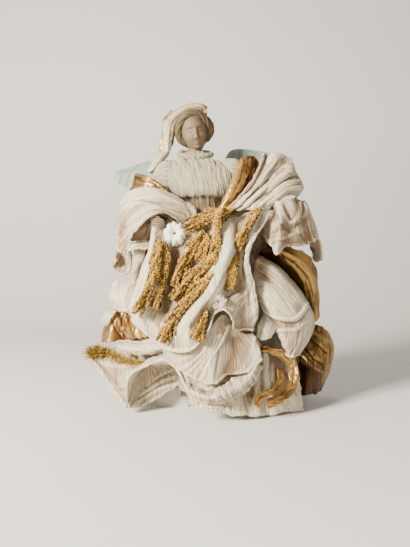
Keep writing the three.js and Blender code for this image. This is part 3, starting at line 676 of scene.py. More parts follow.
APRON_STROKES = [
    ([(-51, 168), (-54, 150), (-57, 135), (-62, 117), (-68, 100)], 1.1, 1.3),
    ([(-49, 168), (-52, 150), (-54, 135), (-59, 117), (-65, 100)], 0.8, -1.1),
    ([(-46, 164), (-49, 148), (-52, 132), (-56, 113)], 1.2, 1.6),
    ([(-43, 162), (-46, 146), (-49, 130), (-53, 112)], 0.9, -1),
    ([(-66, 82), (-54, 68), (-40, 57)], 2.4, 1.3),
    ([(-60, 88), (-50, 74), (-37, 63)], 1.3, -0.9),
    ([(-50, 82), (-42, 70), (-34, 58)], 1.3, 0.9),
    ([(-42, 78), (-38, 66)], 0.9, -0.8),
    ([(-25, 157), (-23, 135), (-28, 110), (-37, 85)], 5, -2.4),
    ([(7, 175), (8, 155), (6, 144)], 4, -1.8),
    ([(30, 174), (31, 160), (27, 144), (19, 126), (9, 107), (-7, 88), (-23, 68), (-30, 57)], 3.6, 2.8),
    ([(42, 162), (38, 148), (31, 134), (21, 119), (12, 104), (3, 91), (-9, 73)], 2.4, -2.8),
    ([(20, 164), (15, 148), (7, 130), (-4, 112), (-16, 95), (-28, 78), (-39, 59)], 2.4, -2.6),
    ([(34, 168), (34, 154), (27, 138), (17, 120), (6, 102), (-8, 85)], 0.8, -1.2),
    ([(29, 160), (24, 146), (14, 128), (3, 110), (-12, 90)], 0.8, -1.1),
    ([(28, 164), (25, 154)], 0.9, 0.8),
    ([(29, 138), (22, 128)], 0.8, -0.9),
    ([(14, 116), (8, 107)], 0.8, -0.9),
    ([(1, 97), (-7, 88)], 0.9, 0.9),
    ([(-4, 100), (-12, 89)], 0.8, -0.8),
    ([(-14, 78), (-21, 65)], 1, 1),
    ([(-18, 80), (-25, 67)], 0.8, -0.9),
    ([(68, 186), (62, 172), (52, 158), (47, 148), (48, 130), (52, 108), (54, 88)], 2, 1.8),
    ([(62, 185), (54, 168), (46, 154), (43, 142)], 1.4, -1.4),
    ([(56, 184), (49, 168), (43, 154), (41, 138), (41, 122)], 1.7, 1.2),
    ([(49, 152), (43, 138), (44, 120)], 1.2, -1.3),
    ([(44, 147), (49, 147)], 0.6, -0.9),
    ([(46, 110), (47, 92), (47, 75)], 1.2, 0.5),
    ([(40, 148), (33, 130), (26, 112)], 3.4, -2.4),
    ([(-50, 59), (-35, 53), (-20, 51), (-8, 52), (3, 59), (9, 68), (13, 80), (18, 87), (24, 89)], 1.5, 1.3),
    ([(24, 89), (29, 86), (32, 79), (33, 72), (42, 70), (52, 70)], 1.5, 1.3),
    ([(8, 94), (3, 80), (-4, 66)], 4, -2),
]
# Painted light along the left rim, the lower left, the great ridge and the right rim, and painted shade in
# two hollows.
APRON_PAINTED_LIGHT = [
    ([(-66, 82), (-52, 70), (-36, 57)], 12, 0.45),
    ([(-51, 164), (-56, 138), (-67, 100)], 3.5, 0.35),
    ([(29, 164), (22, 138), (6, 110), (-12, 85), (-28, 62)], 5, 0.3),
    ([(52, 130), (54, 100), (56, 78)], 3, 0.25),
    ([(42, 138), (41, 110), (42, 82)], 5, -0.25),
    ([(-28, 150), (-29, 128), (-34, 104)], 6, -0.25),
]
apron = cloth("lap_cloth", "apron", APRON_LINES, seed=11, pleat=0.45, pitch=3.6, strokes=APRON_STROKES,
              painted_light=APRON_PAINTED_LIGHT, hem=("end",), reach=8, rests_on=["gown_skirt", "hand"], fine=1.08)

# %% [markdown]
# ## The shoulder and the arm on the right
# A pleated end of the mantle fans out over the shoulder, and a second end falls from it in deep ruffles.
# The fan narrows to a gather at the waist, so its pleats are sharpest there.

# %% The shoulder fan
FAN_LINES = [
    [[30, 194, -40], [49, 216, -34], [60, 237, -22], [63, 246, -12], [58, 236, 12]],
    [[33, 193, -36], [53, 214, -28], [63, 234, -16], [68, 247, -4], [66, 238, 15]],
    [[34, 192, -42], [56, 213, -38], [69, 232, -24], [78, 247, -6], [75, 237, 17]],
    [[36, 191, -37], [58, 211, -30], [74, 228, -18], [90, 242, 0], [84, 230, 18]],
    [[40, 191, -43], [62, 209, -39], [81, 224, -28], [94, 232, -4], [88, 222, 18]],
    [[45, 191, -38], [66, 206, -34], [85, 219, -24], [100, 221, 0], [92, 214, 17]],
    [[51, 191, -43], [70, 202, -41], [87, 213, -33], [103, 213, -6], [96, 208, 14]],
    [[57, 192, -41], [72, 199, -39], [86, 208, -33], [99, 207, -10], [96, 203, 8]],
    [[62, 192, -39], [72, 197, -35], [84, 205, -29], [96, 205, -8], [94, 201, 4]],
]
FAN_STROKES = [
    ([(33, 196), (48, 212), (56, 226), (63, 242)], 1.1, 1.2),
    ([(38, 196), (52, 213), (61, 228), (70, 243)], 1.2, 1.2),
    ([(35, 196), (50, 212), (58, 227), (66, 243)], 0.8, -1.4),
    ([(41, 195), (55, 211), (64, 226), (73, 240)], 1.1, -1.7),
    ([(46, 195), (59, 210), (69, 224), (80, 236)], 2, 1.4),
    ([(50, 194), (63, 207), (73, 220), (84, 232)], 1.3, -1.7),
    ([(53, 194), (66, 206), (78, 219), (91, 229)], 1.8, 1.6),
    ([(57, 195), (70, 207), (82, 218), (93, 224)], 1, -1.5),
    ([(60, 196), (73, 207), (85, 217), (98, 220)], 1.6, 1.4),
    ([(63, 195), (75, 204), (87, 213), (100, 216)], 0.9, -1.5),
    ([(66, 196), (77, 203), (88, 210), (101, 212)], 1.5, 1.3),
    ([(79, 232), (87, 234), (94, 232)], 1.1, 1.2),
    ([(76, 227), (84, 229), (91, 226)], 0.9, -1.1),
]
fan = cloth("shoulder_pleats", "shoulder_fan", FAN_LINES, seed=21, pleat=0.6, pitch=2.6,
            strokes=FAN_STROKES, hem=("right",), reach=5, rests_on=["bodice"])

# %% [markdown]
# The ruffle is the loose end of the same cloth. It bulges forward beside the fan and swings back round
# the arm. Its loops are strokes that stand high, so no cloth has to pass through itself.

# %% The arm ruffle
RUFFLE_LINES = [
    [[71, 192, -26], [68, 183, -26], [66, 174, -28], [65, 164, -31]],
    [[71, 197, -32], [74, 187, -37], [73, 172, -41], [72, 154, -42]],
    [[75, 200, -36], [80, 188, -43], [79, 168, -45], [76, 146, -43]],
    [[79, 200, -39], [86, 187, -38], [86, 172, -37], [84, 154, -35]],
    [[87, 201, -34], [94, 192, -37], [97, 174, -33], [96, 155, -28]],
    [[96, 201, -20], [101, 192, -25], [105, 176, -22], [108, 157, -19]],
    [[104, 199, -11], [109, 192, -15], [113, 178, -14], [119, 160, -12]],
    [[107, 194, 2], [107, 185, 1], [115, 170, 0], [122, 141, -2]],
    [[100, 192, 14], [101, 180, 14], [109, 160, 14], [114, 138, 12]],
]
RUFFLE_STROKES = [
    ([(66, 193), (67, 198), (72, 201), (77, 197), (79, 190), (81, 178)], 1.5, 1.9),
    ([(70, 194), (73, 190), (75, 180)], 2.4, -2.2),
    ([(80, 197), (84, 184), (91, 178), (98, 184), (100, 197)], 1.6, 2.1),
    ([(90, 201), (90, 187)], 4.5, 1),
    ([(83, 175), (91, 172), (99, 177)], 1.6, -1.2),
    ([(79, 185), (82, 176), (90, 168)], 1.7, -1.6),
    ([(104, 201), (106, 192), (103, 184)], 1.7, 1.5),
    ([(72, 168), (84, 171), (97, 167)], 1.3, -0.9),
    ([(69, 160), (84, 163), (98, 169)], 1.6, 1.3),
    ([(100, 166), (106, 158), (114, 150)], 1.2, -1.7),
    ([(108, 178), (111, 167), (116, 156)], 1.4, 1.2),
    ([(72, 154), (77, 159), (84, 160)], 1, -1.2),
]
# Painted shade over the ruffle, deepest in its folds at the left and the right.
RUFFLE_PAINTED_SHADE = [
    ([(96, 190), (100, 174), (100, 160)], 12, -0.3),
    ([(90, 174), (94, 160)], 14, -0.12),
    ([(75, 192), (80, 178), (73, 162)], 4, -0.4),
    ([(110, 164), (116, 148)], 6, -0.25),
]
ruffle = cloth("arm_ruffles", "arm_ruffle", RUFFLE_LINES, seed=31, pleat=0.5, pitch=3.4,
               strokes=RUFFLE_STROKES, painted_light=RUFFLE_PAINTED_SHADE, hem=("end",), reach=7,
               rests_on=["shoulder_fan"])

# %% [markdown]
# ## The sleeve on the left
# The wide sleeve lies over the arm like a shawl. It is open in front, where its inside and the hand
# show, and a curled hem hangs below the elbow.

# %% The sleeve
SLEEVE_LINES = [
    [[-16, 197, -14], [-35, 206, 4], [-58, 212, 14], [-76, 200, 20], [-81, 178, 20], [-80, 154, 16]],
    [[-7, 194, -27], [-26, 204, -29], [-52, 212, -27], [-74, 204, -12], [-83, 184, -6], [-83, 156, -6]],
    [[-3, 189, -31], [-25, 199, -38], [-51, 205, -40], [-72, 194, -30], [-81, 174, -20], [-82, 151, -16]],
    [[-4, 183, -31], [-28, 195, -36], [-52, 197, -38], [-70, 188, -32], [-78, 168, -24], [-80, 149, -20]],
    [[-10, 180, -34], [-32, 192, -42], [-52, 191, -46], [-67, 180, -42], [-75, 162, -33], [-79, 148, -24]],
    [[-18, 177, -33], [-35, 187, -43], [-50, 183, -48], [-62, 172, -43], [-72, 159, -34], [-78, 148, -26]],
]
SLEEVE_STROKES = [
    ([(-76, 197), (-67, 200), (-57, 200), (-46, 197),
      (-35, 193), (-23, 189), (-14, 185), (-12, 179)], 1, -1.7),
    ([(-72, 201), (-60, 203), (-47, 201), (-34, 197), (-20, 192), (-10, 186)], 1.6, 1),
    ([(-72, 193), (-60, 197), (-47, 195), (-36, 190), (-24, 186), (-16, 181)], 1.5, 0.9),
    ([(-81, 166), (-74, 174), (-64, 181), (-52, 188), (-40, 191), (-30, 188)], 1, -1.7),
    ([(-78, 160), (-70, 169), (-60, 178), (-50, 186), (-40, 188)], 1.5, 1.2),
    ([(-79, 154), (-72, 162), (-62, 172), (-53, 181)], 0.8, -1),
    ([(-78, 204), (-66, 209), (-53, 211), (-40, 208)], 2, 0.9),
    ([(-80, 194), (-74, 200), (-67, 203)], 1.1, -0.9),
    ([(-83, 178), (-81, 190), (-74, 199)], 1.3, -0.8),
    ([(-67, 194), (-74, 186), (-80, 174)], 1.4, 0.9),
    ([(-61, 191), (-70, 185), (-77, 174)], 1.1, -0.9),
    ([(-55, 206), (-44, 205), (-34, 201)], 1.3, -0.7),
    ([(-11, 197), (-6, 191), (-4, 183)], 2, 1.7),
    ([(-14, 195), (-10, 189), (-9, 181)], 1.1, -1.2),
    ([(-35, 186), (-24, 183), (-13, 178)], 1.1, 0.8),
]
# Painted shade down the sleeve's outer side and under its long folds, and a little painted light along its
# top.
SLEEVE_PAINTED_LIGHT = [
    ([(-82, 186), (-79, 170), (-76, 154)], 8, -0.35),
    ([(-34, 200), (-24, 194), (-14, 190)], 9, -0.2),
    ([(-42, 186), (-28, 186), (-16, 180)], 4, -0.35),
    ([(-68, 204), (-50, 207)], 10, 0.12),
]
sleeve = cloth("sleeve_cloth", "sleeve_drape", SLEEVE_LINES, seed=41, pleat=0.35, pitch=4.2,
               strokes=SLEEVE_STROKES, painted_light=SLEEVE_PAINTED_LIGHT, hem=("right", "end"), reach=8,
               rests_on=["bodice"])

# %% [markdown]
# The mouth of the sleeve is open, so its inside shows; it is a darker cotton, which is painted shade. A
# second cloth behind the first is simpler than one cloth that turns back on itself.

# %% The inside of the sleeve
SLEEVE_INNER_LINES = [
    [[-69, 168, -4], [-60, 181, -10], [-50, 187, -14], [-32, 183, -14]],
    [[-72, 163, -13], [-61, 171, -21], [-50, 175, -24], [-34, 173, -20]],
    [[-69, 160, -10], [-59, 161, -15], [-48, 162, -18], [-34, 162, -16]],
]
cloth("sleeve_lining", "sleeve_inner", SLEEVE_INNER_LINES, seed=43, pleat=0.7, pitch=5, rests_on=["hand"],
      made_of=SHADED_INNER_COTTON)

# %% [markdown]
# The hem below the elbow curls up into a pocket. Its folds run across those of the sleeve, so it is laid
# as a cloth of its own.

# %% The curled hem of the sleeve
SLEEVE_HEM_LINES = [
    [[-44, 160, -22], [-45, 155, -24], [-48, 149, -26]],
    [[-57, 160, -26], [-58, 156, -28], [-60, 152, -30]],
    [[-68, 156, -28], [-69, 153, -30], [-70, 149, -31]],
    [[-70, 153, -14], [-69, 145, -19], [-68, 138, -22]],
    [[-73, 150, -2], [-70, 139, -6], [-70, 128, -12]],
    [[-79, 148, 4], [-79, 137, 2], [-79, 125, -4]],
    [[-83, 148, -1], [-86, 141, -1], [-87, 132, -3]],
    [[-84, 148, -8], [-84, 145, -9], [-83, 141, -10]],
]
HEM_STROKES = [
    ([(-75, 153), (-65, 156), (-54, 157)], 1.4, 0.9),
    ([(-69, 151), (-72, 144), (-70, 134), (-71, 128)], 1.2, 1.1),
]
cloth("sleeve_hem_curl", "sleeve_hem", SLEEVE_HEM_LINES, seed=45, pleat=0.45, pitch=3.5,
      strokes=HEM_STROKES, hem=("end",), reach=6, rests_on=["sleeve_drape"])

# %% [markdown]
# ## The flap on the right
# Below the arm the mantle turns over in one broad flap whose lower end curls in on itself.

# %% The flap
FLAP_LINES = [
    [[62, 144, -18], [80, 132, -12], [97, 114, -8], [108, 97, -6], [114, 80, -8], [109, 61, -16],
     [98, 46, -30]],
    [[56, 141, -32], [74, 130, -38], [91, 112, -39], [104, 96, -37], [110, 80, -34], [106, 61, -35],
     [95, 45, -42]],
    [[54, 132, -34], [70, 120, -43], [86, 104, -47], [98, 90, -46], [104, 78, -43], [100, 61, -44],
     [93, 43, -48]],
    [[54, 124, -40], [66, 112, -50], [80, 98, -53], [90, 86, -52], [96, 74, -48], [94, 60, -48],
     [92, 42, -50]],
    [[55, 114, -42], [62, 102, -51], [72, 90, -54], [80, 80, -52], [84, 70, -49], [86, 57, -50],
     [90, 43, -50]],
    [[57, 108, -36], [60, 100, -43], [67, 88, -46], [73, 78, -45], [77, 70, -43], [83, 59, -46],
     [88, 45, -48]],
]
FLAP_STROKES = [
    ([(72, 124), (84, 112), (96, 96)], 0.8, -0.5),
    ([(66, 120), (79, 106), (90, 90)], 0.8, -0.6),
    ([(62, 110), (72, 98), (82, 87)], 0.8, -0.6),
    ([(64, 128), (80, 114), (94, 98)], 4, 1.6),
    ([(56, 102), (62, 94), (70, 87), (82, 82), (94, 82), (102, 89), (106, 97)], 1.5, 2.2),
    ([(58, 95), (66, 87), (78, 80), (91, 77), (102, 82), (108, 91)], 1.2, -2.4),
    ([(76, 71), (86, 71), (97, 72), (106, 80)], 1.7, 1.3),
    ([(62, 88), (70, 82), (77, 73), (83, 64), (85, 54)], 1.5, 1.5),
    ([(99, 70), (97, 57), (91, 46)], 1.3, -1.3),
    ([(106, 74), (104, 60), (99, 48)], 1.4, 1),
    ([(56, 113), (63, 114)], 0.8, -1.6),
    ([(57, 104), (62, 102)], 0.8, -1.3),
]
# Painted shade on the flap's upper left, under its turned-over fold and low down, and painted light on its
# left middle and its right edge.
FLAP_PAINTED_LIGHT = [
    ([(61, 137), (64, 130), (68, 122)], 6, -0.4),
    ([(60, 110), (70, 104)], 6, 0.4),
    ([(100, 108), (106, 94), (108, 82)], 4, 0.2),
    ([(88, 68), (86, 50)], 5, -0.3),
    ([(66, 83), (80, 77), (93, 76)], 3.5, -0.5),
]
flap = cloth("turned_flap", "side_flap", FLAP_LINES, seed=51, pleat=0.35, pitch=3.4, strokes=FLAP_STROKES,
             painted_light=FLAP_PAINTED_LIGHT, hem=("right", "end"), reach=6)

# %% [markdown]
# The foot of the flap turns inwards. What comes back into view there is a small cloth of its own.

# %% The curl at the foot of the flap
FLAP_CURL_LINES = [
    [[64, 88, -42], [59, 75, -48], [57, 62, -50]],
    [[68, 84, -47], [65, 72, -53], [62, 60, -53]],
    [[75, 77, -44], [76, 70, -48], [72, 63, -51]],
]
cloth("flap_inner_curl", "flap_curl", FLAP_CURL_LINES, seed=53, pleat=0.6, pitch=3.4, hem=("left",),
      reach=6, rests_on=["side_flap"])

# %% [markdown]
# ## The skirt of the mantle
# Under the lap cloth the mantle spreads to the ground: a broad front fold, a corner lifted at the left
# with a fold inside it, a curled edge behind the corner, and the fluffy hem of the gown below.

# %% The front fold
SKIRT_FRONT_LINES = [
    [[-40, 55, -62], [-37, 48, -66], [-32, 38, -71]],
    [[-25, 55, -72], [-20, 42, -77], [-16, 28, -81]],
    [[-10, 57, -78], [-2, 40, -82], [0, 19, -86]],
    [[7, 69, -78], [10, 43, -84], [13, 16, -88]],
    [[22, 86, -68], [20, 52, -79], [19, 20, -84]],
    [[30, 81, -62], [29, 52, -74], [26, 24, -80]],
    [[40, 68, -62], [45, 48, -68], [46, 28, -74]],
    [[52, 67, -57], [58, 55, -62], [62, 40, -66]],
]
SKIRT_FRONT_STROKES = [
    ([(28, 74), (22, 60), (12, 44), (2, 22)], 1.6, 1.6),
    ([(25, 70), (17, 54), (7, 39), (-3, 21)], 0.8, -1.2),
    ([(21, 66), (12, 51), (2, 37), (-8, 21)], 0.9, 0.9),
    ([(18, 62), (9, 48), (-2, 34), (-13, 21)], 0.7, -1),
    ([(15, 60), (5, 46), (-6, 33), (-17, 24)], 0.9, 0.9),
    ([(11, 56), (1, 43), (-10, 33), (-21, 27)], 0.7, -0.9),
    ([(6, 52), (-4, 42), (-14, 34), (-24, 31)], 0.9, 0.8),
    ([(2, 50), (-9, 41), (-20, 36)], 0.7, -0.9),
    ([(-4, 50), (-14, 43), (-25, 40)], 0.9, 0.7),
    ([(19, 48), (16, 34), (14, 17)], 1.2, -0.5),
    ([(16, 44), (13, 32), (11, 17)], 1.8, 0.6),
    ([(7, 34), (5, 20)], 0.8, -1),
    ([(54, 64), (52, 50), (44, 34), (32, 22)], 1.6, 1),
    ([(34, 60), (33, 44), (28, 28)], 5, -1.4),
]
# Painted shade on the right of the front fold and under the lap cloth, and a painted highlight along its
# curved right edge.
SKIRT_FRONT_PAINTED_LIGHT = [
    ([(36, 58), (36, 42), (30, 26)], 10, -0.4),
    ([(56, 48), (50, 34), (40, 21)], 3, 0.5),
    ([(22, 76), (22, 66)], 6, -0.2),
    ([(-10, 48), (0, 52)], 8, -0.15),
]
skirt_front = cloth("skirt_front_fold", "skirt_front", SKIRT_FRONT_LINES, seed=61, pleat=0.12, pitch=3.4,
                    strokes=SKIRT_FRONT_STROKES, painted_light=SKIRT_FRONT_PAINTED_LIGHT, hem=("end",), reach=6,
                    rests_on=["underskirt"])

# %% [markdown]
# The corner is bent up and stands away from the ground. Its thick rolled edge is the widest bead of all.

# %% The lifted corner
SKIRT_LEFT_LINES = [
    [[-100, 48, 0], [-108, 48, -4], [-116, 47, -6]],
    [[-82, 44, -14], [-94, 38, -20], [-102, 30, -22]],
    [[-67, 40, -30], [-78, 26, -36], [-87, 9, -38]],
    [[-57, 38, -40], [-67, 20, -50], [-73, -7, -54]],
    [[-50, 40, -44], [-61, 32, -52], [-70, 22, -60]],
    [[-42, 44, -50], [-48, 40, -58], [-52, 34, -63]],
    [[-32, 48, -55], [-34, 44, -61], [-35, 39, -65]],
    [[-22, 48, -60], [-23, 40, -67], [-23, 29, -72]],
    [[-14, 46, -61], [-13, 28, -71], [-14, 10, -76]],
    [[-4, 44, -60], [-2, 20, -71], [-6, -5, -78]],
]
SKIRT_LEFT_STROKES = [
    ([(-97, 17), (-85, 14), (-73, 16)], 0.9, 0.8),
    ([(-94, 12), (-83, 10), (-73, 11)], 0.8, -0.8),
    ([(-24, 38), (-16, 22), (-10, 6)], 1.1, -1.1),
    ([(-28, 43), (-18, 32), (-10, 15)], 1.3, 1),
    ([(-100, 38), (-80, 34), (-60, 36), (-45, 42)], 2.2, 1),
    ([(-72, 32), (-60, 34), (-48, 39)], 1.1, -0.9),
    ([(-104, 40), (-92, 28), (-78, 10)], 1.6, -0.8),
]
# Painted shade on the upper left of the lifted corner.
SKIRT_LEFT_PAINTED_SHADE = [([(-102, 38), (-90, 26)], 10, -0.2)]
skirt_left = cloth("skirt_lifted_corner", "skirt_left", SKIRT_LEFT_LINES, seed=63, pleat=0.5, pitch=4.6,
                   strokes=SKIRT_LEFT_STROKES, painted_light=SKIRT_LEFT_PAINTED_SHADE, hem=("end", "left"),
                   hem_size=(1.7, 1.9), reach=8)

# %% [markdown]
# Two small folds close the view into the corner: one inside its arch, and one that curls up behind it.

# %% The folds inside and behind the corner
SKIRT_INNER_LINES = [
    [[-68, 15, -44], [-70, 5, -46], [-71, -6, -49]],
    [[-58, 30, -38], [-56, 14, -40], [-55, -4, -42]],
    [[-42, 39, -34], [-40, 23, -36], [-37, 5, -38]],
    [[-28, 41, -34], [-24, 30, -36], [-20, 16, -37]],
]
SKIRT_INNER_STROKES = [
    ([(-67, -4), (-55, 4), (-40, 12), (-23, 16)], 1.5, 1.6),
    ([(-62, 1), (-50, 9), (-37, 16), (-23, 20)], 0.9, -1.4),
    ([(-59, 6), (-47, 14), (-35, 21), (-23, 24)], 1.3, 1.3),
    ([(-54, 12), (-42, 21), (-30, 27)], 0.9, -1.2),
    ([(-45, 22), (-35, 28), (-26, 31)], 1.2, 1.1),
]
cloth("skirt_inner_fold", "skirt_inner", SKIRT_INNER_LINES, seed=65, pleat=0.5, pitch=4,
      strokes=SKIRT_INNER_STROKES, hem=("end",), reach=6, rests_on=["skirt_left"])
SKIRT_CURL_LINES = [
    [[-84, 59, -26], [-75, 60, -28], [-60, 59, -36], [-42, 63, -46], [-32, 57, -54]],
    [[-81, 53, -32], [-70, 52, -36], [-55, 51, -44], [-40, 53, -52], [-30, 53, -58]],
    [[-73, 48, -30], [-62, 46, -35], [-50, 47, -41], [-38, 50, -47], [-28, 51, -53]],
]
skirt_curl = cloth("skirt_back_curl", "skirt_curl", SKIRT_CURL_LINES, seed=67, pleat=0.5, pitch=3.6,
                   hem=("left",), reach=7, rests_on=["skirt_left"])

# %% [markdown]
# The gown ends in gathered cotton. A fluffy strip of it, with high fine pleats, shows below the fold.

# %% The flounce under the front fold
FLOUNCE_LINES = [
    [[-16, 19, -72], [-13, 11, -84], [-9, 3, -78]],
    [[-4, 13, -78], [-2, 6, -92], [1, -1, -84]],
    [[8, 10, -81], [10, 3, -96], [13, -3, -86]],
    [[21, 18, -76], [24, 7, -92], [27, 0, -84]],
    [[33, 27, -70], [38, 13, -86], [41, 6, -78]],
    [[43, 33, -63], [49, 22, -77], [53, 17, -69]],
    [[50, 38, -59], [57, 37, -69], [62, 34, -61]],
]
cloth("gown_flounce", "flounce", FLOUNCE_LINES, seed=75, pleat=1.1, pitch=3.0, hem=("end",), reach=5,
      rests_on=["underskirt"], fine=0.9)

# %% [markdown]
# The rest of the gown's hem hangs free at the right and reaches the ground.

# %% The hem of the gown
UNDERSKIRT_LINES = [
    [[-10, 24, -62], [-9, 10, -66], [-3, -2, -70]],
    [[-1, 26, -66], [-1, 10, -76], [2, -8, -76]],
    [[12, 28, -68], [11, 8, -80], [12, -11, -80]],
    [[25, 34, -62], [24, 8, -78], [24, -12.5, -78]],
    [[36, 50, -54], [38, 12, -70], [37, -15.5, -76]],
    [[46, 58, -46], [48, 20, -60], [49, -15, -70]],
    [[56, 60, -46], [56, 25, -62], [58, -15, -68]],
    [[62, 56, -42], [61, 25, -54], [66, -14, -60]],
    [[68, 52, -42], [67, 22, -58], [74, -13.5, -58]],
    [[81, 50, -38], [84, 18, -46], [89, -11, -48]],
    [[96, 42, -32], [100, 17, -39], [103, -10, -41]],
]
UNDERSKIRT_STROKES = [
    ([(0, -4), (16, -6), (28, -9), (40, -12), (62, -11), (100, -8)], 2, 1.5),
    ([(22, -3), (26, -11)], 0.8, -1),
    ([(31, -6), (33, -14)], 0.8, -0.9),
    ([(45, 0), (47, -13)], 0.9, -1.5),
    ([(55, 48), (55, 28), (52, 5)], 2.6, -1.8),
    ([(64, 48), (65, 30), (66, 12)], 2.2, 1.6),
    ([(70, 44), (70, 28), (72, 8)], 1.2, -1.6),
    ([(84, 2), (100, 4)], 1.2, 0.8),
]
# Painted light along the foot of the hem and on one lit upright fold, and painted shade in the folds beside
# it and along its top, under the front fold.
UNDERSKIRT_PAINTED_LIGHT = [
    ([(36, -12), (62, -11), (102, -7)], 6, 0.4),
    ([(65, 46), (65, 30), (67, 12)], 4.5, 0.6),
    ([(54, 38), (54, 20), (50, 4)], 7, -0.35),
    ([(76, 40), (80, 24), (78, 8)], 8, -0.8),
    ([(62, 50), (90, 48)], 5, -0.8),
    ([(40, -4), (62, -4), (98, -2)], 7, 0.35),
]
cloth("gown_hem", "underskirt", UNDERSKIRT_LINES, seed=69, pleat=0.85, pitch=3.6,
      strokes=UNDERSKIRT_STROKES, painted_light=UNDERSKIRT_PAINTED_LIGHT, hem=("end",), reach=7, slot="gown")

# %% [markdown]
# ## The left side of the lap
# A lobe of the mantle turns over the thigh, and a pointed tip of it stands out above the gold cloth.

# %% The lobe and the tip
LAP_LOBE_LINES = [
    [[-64, 117, -30], [-67, 104, -34], [-66, 89, -40]],
    [[-74, 118, -24], [-77, 105, -31], [-75, 90, -34]],
    [[-83, 119, -12], [-87, 106, -17], [-83, 91, -20]],
    [[-90, 116, 2], [-91, 104, 2], [-87, 93, 0]],
]
lap_lobe = cloth("lap_side_lobe", "lap_lobe", LAP_LOBE_LINES, seed=71, pleat=0.5, pitch=3.6, hem=("end",),
                 reach=7)
TIP_LINES = [
    [[-87, 92, -10], [-94, 88, -13], [-99, 79, -14]],
    [[-83, 89, -20], [-88, 83, -22], [-93, 75, -20]],
]
cloth("lap_pointed_tip", "cloth_tip", TIP_LINES, seed=73, pleat=0.3, pitch=3, reach=5,
      rests_on=["lap_lobe"], fine=0.8)

# %% [markdown]
# ## The gold cloth
# The same maker lays the gold: it is thinner, holds sharper creases, and its relief is mostly in the
# finish. A gathered sash crosses the chest, bands line the sleeve and the veil, and a train lies behind.

# %% Gold over the chest and the sleeve
SASH_LINES = [
    [[38, 240, -18], [34, 225, -27], [26, 208, -32], [19, 192, -33]],
    [[43, 243, -16], [38, 224, -33], [29, 207, -38], [21, 190, -38]],
    [[48, 244, -12], [45, 222, -27], [34, 205, -33], [23, 190, -34]],
    [[54, 243, -7], [54, 224, -20], [43, 208, -26], [28, 191, -31]],
    [[59, 237, 2], [56, 220, -14], [46, 206, -20], [33, 193, -28]],
]
SASH_STROKES = [
    ([(40, 238), (36, 222), (28, 204)], 1.5, 1.3),
    ([(45, 240), (41, 224), (32, 206)], 1, -1.5),
    ([(50, 240), (47, 226), (38, 210)], 1.5, 1.3),
    ([(55, 238), (51, 228), (43, 212)], 1.1, -1.7),
]
# Painted shade down the right of the sash and across its top, and painted light down its left.
SASH_PAINTED_LIGHT = [
    ([(54, 242), (51, 228), (47, 216), (40, 203)], 4.5, -0.8),
    ([(42, 245), (56, 245)], 3, -0.4),
    ([(40, 234), (36, 220), (30, 204)], 3, 0.3),
]
sash = cloth("gold_sash_cloth", "gold_sash", SASH_LINES, seed=81, pleat=1.1, pitch=3.2,
             strokes=SASH_STROKES, painted_light=SASH_PAINTED_LIGHT, reach=5, rests_on=["bodice"], fine=0.9,
             made_of=GOLD_SHEER, **FILM)
SLEEVE_GOLD_LINES = [
    [[-64, 227, -4], [-50, 223, -21], [-37, 213, -23], [-23, 201, -25]],
    [[-70, 208, -8], [-55, 209, -23], [-40, 207, -25], [-26, 198, -26]],
]
cloth("gold_sleeve_band", "sleeve_gold", SLEEVE_GOLD_LINES, seed=83, pleat=0.7, pitch=4, hem=("left",),
      reach=6, rests_on=["sleeve_drape"], fine=0.8, made_of=GOLD, **FILM)

# %% [markdown]
# The lining shows behind the flap, and the train fans out below it. Both have a few deep folds, because
# film springs back where cotton stays creased.

# %% Gold at the right: the lining and the train
GOLD_LINING_LINES = [
    [[68, 160, -16], [85, 154, -18], [105, 148, -10], [117, 132, -2], [118, 110, 4], [120, 84, 8]],
    [[66, 154, -18], [83, 146, -22], [100, 136, -16], [112, 120, -8], [115, 100, -2], [118, 81, 4]],
    [[62, 150, -16], [80, 138, -16], [96, 125, -10], [106, 108, -4], [111, 92, 0], [114, 79, 4]],
    [[58, 148, -10], [75, 132, -4], [90, 117, 0], [102, 100, 2], [108, 85, 4], [110, 78, 6]],
]
LINING_STROKES = [
    ([(80, 150), (96, 142), (109, 128), (116, 110)], 1.7, 1.6),
    ([(82, 144), (97, 135), (108, 121), (113, 105)], 1.1, -1.6),
    ([(76, 148), (92, 136), (104, 119)], 1.3, 1),
    ([(100, 138), (107, 130)], 0.8, -1.2),
]
# Painted shade over the lower left of the gold lining, where it lies in the hollow behind the flap, and at
# its top.
LINING_PAINTED_SHADE = [
    ([(60, 148), (76, 138), (92, 118), (102, 92)], 11, -0.9),
    ([(62, 156), (70, 150)], 8, -0.6),
]
cloth("gold_side_lining", "gold_lining", GOLD_LINING_LINES, seed=85, pleat=0.7, pitch=5,
      strokes=LINING_STROKES, painted_light=LINING_PAINTED_SHADE, reach=8, made_of=GOLD, **FILM)
GOLD_TRAIN_LINES = [
    [[106, 75, 2], [100, 55, -8], [99, 28, -16], [99, 6, -20]],
    [[114, 76, 0], [112, 55, -12], [108, 28, -22], [105, 5, -24]],
    [[122, 74, 2], [125, 55, -8], [121, 30, -14], [114, 6, -16]],
    [[130, 66, 12], [133, 55, 6], [130, 33, 2], [122, 12, 0]],
    [[124, 63, 26], [128, 52, 26], [125, 34, 24], [118, 16, 20]],
]
TRAIN_STROKES = [
    ([(103, 55), (112, 44), (122, 36)], 1, -2),
    ([(108, 64), (118, 56), (126, 48)], 1, -1.7),
    ([(100, 48), (111, 36), (122, 28)], 1.3, 1.3),
    ([(110, 70), (122, 63), (130, 58)], 1.2, 1.1),
]
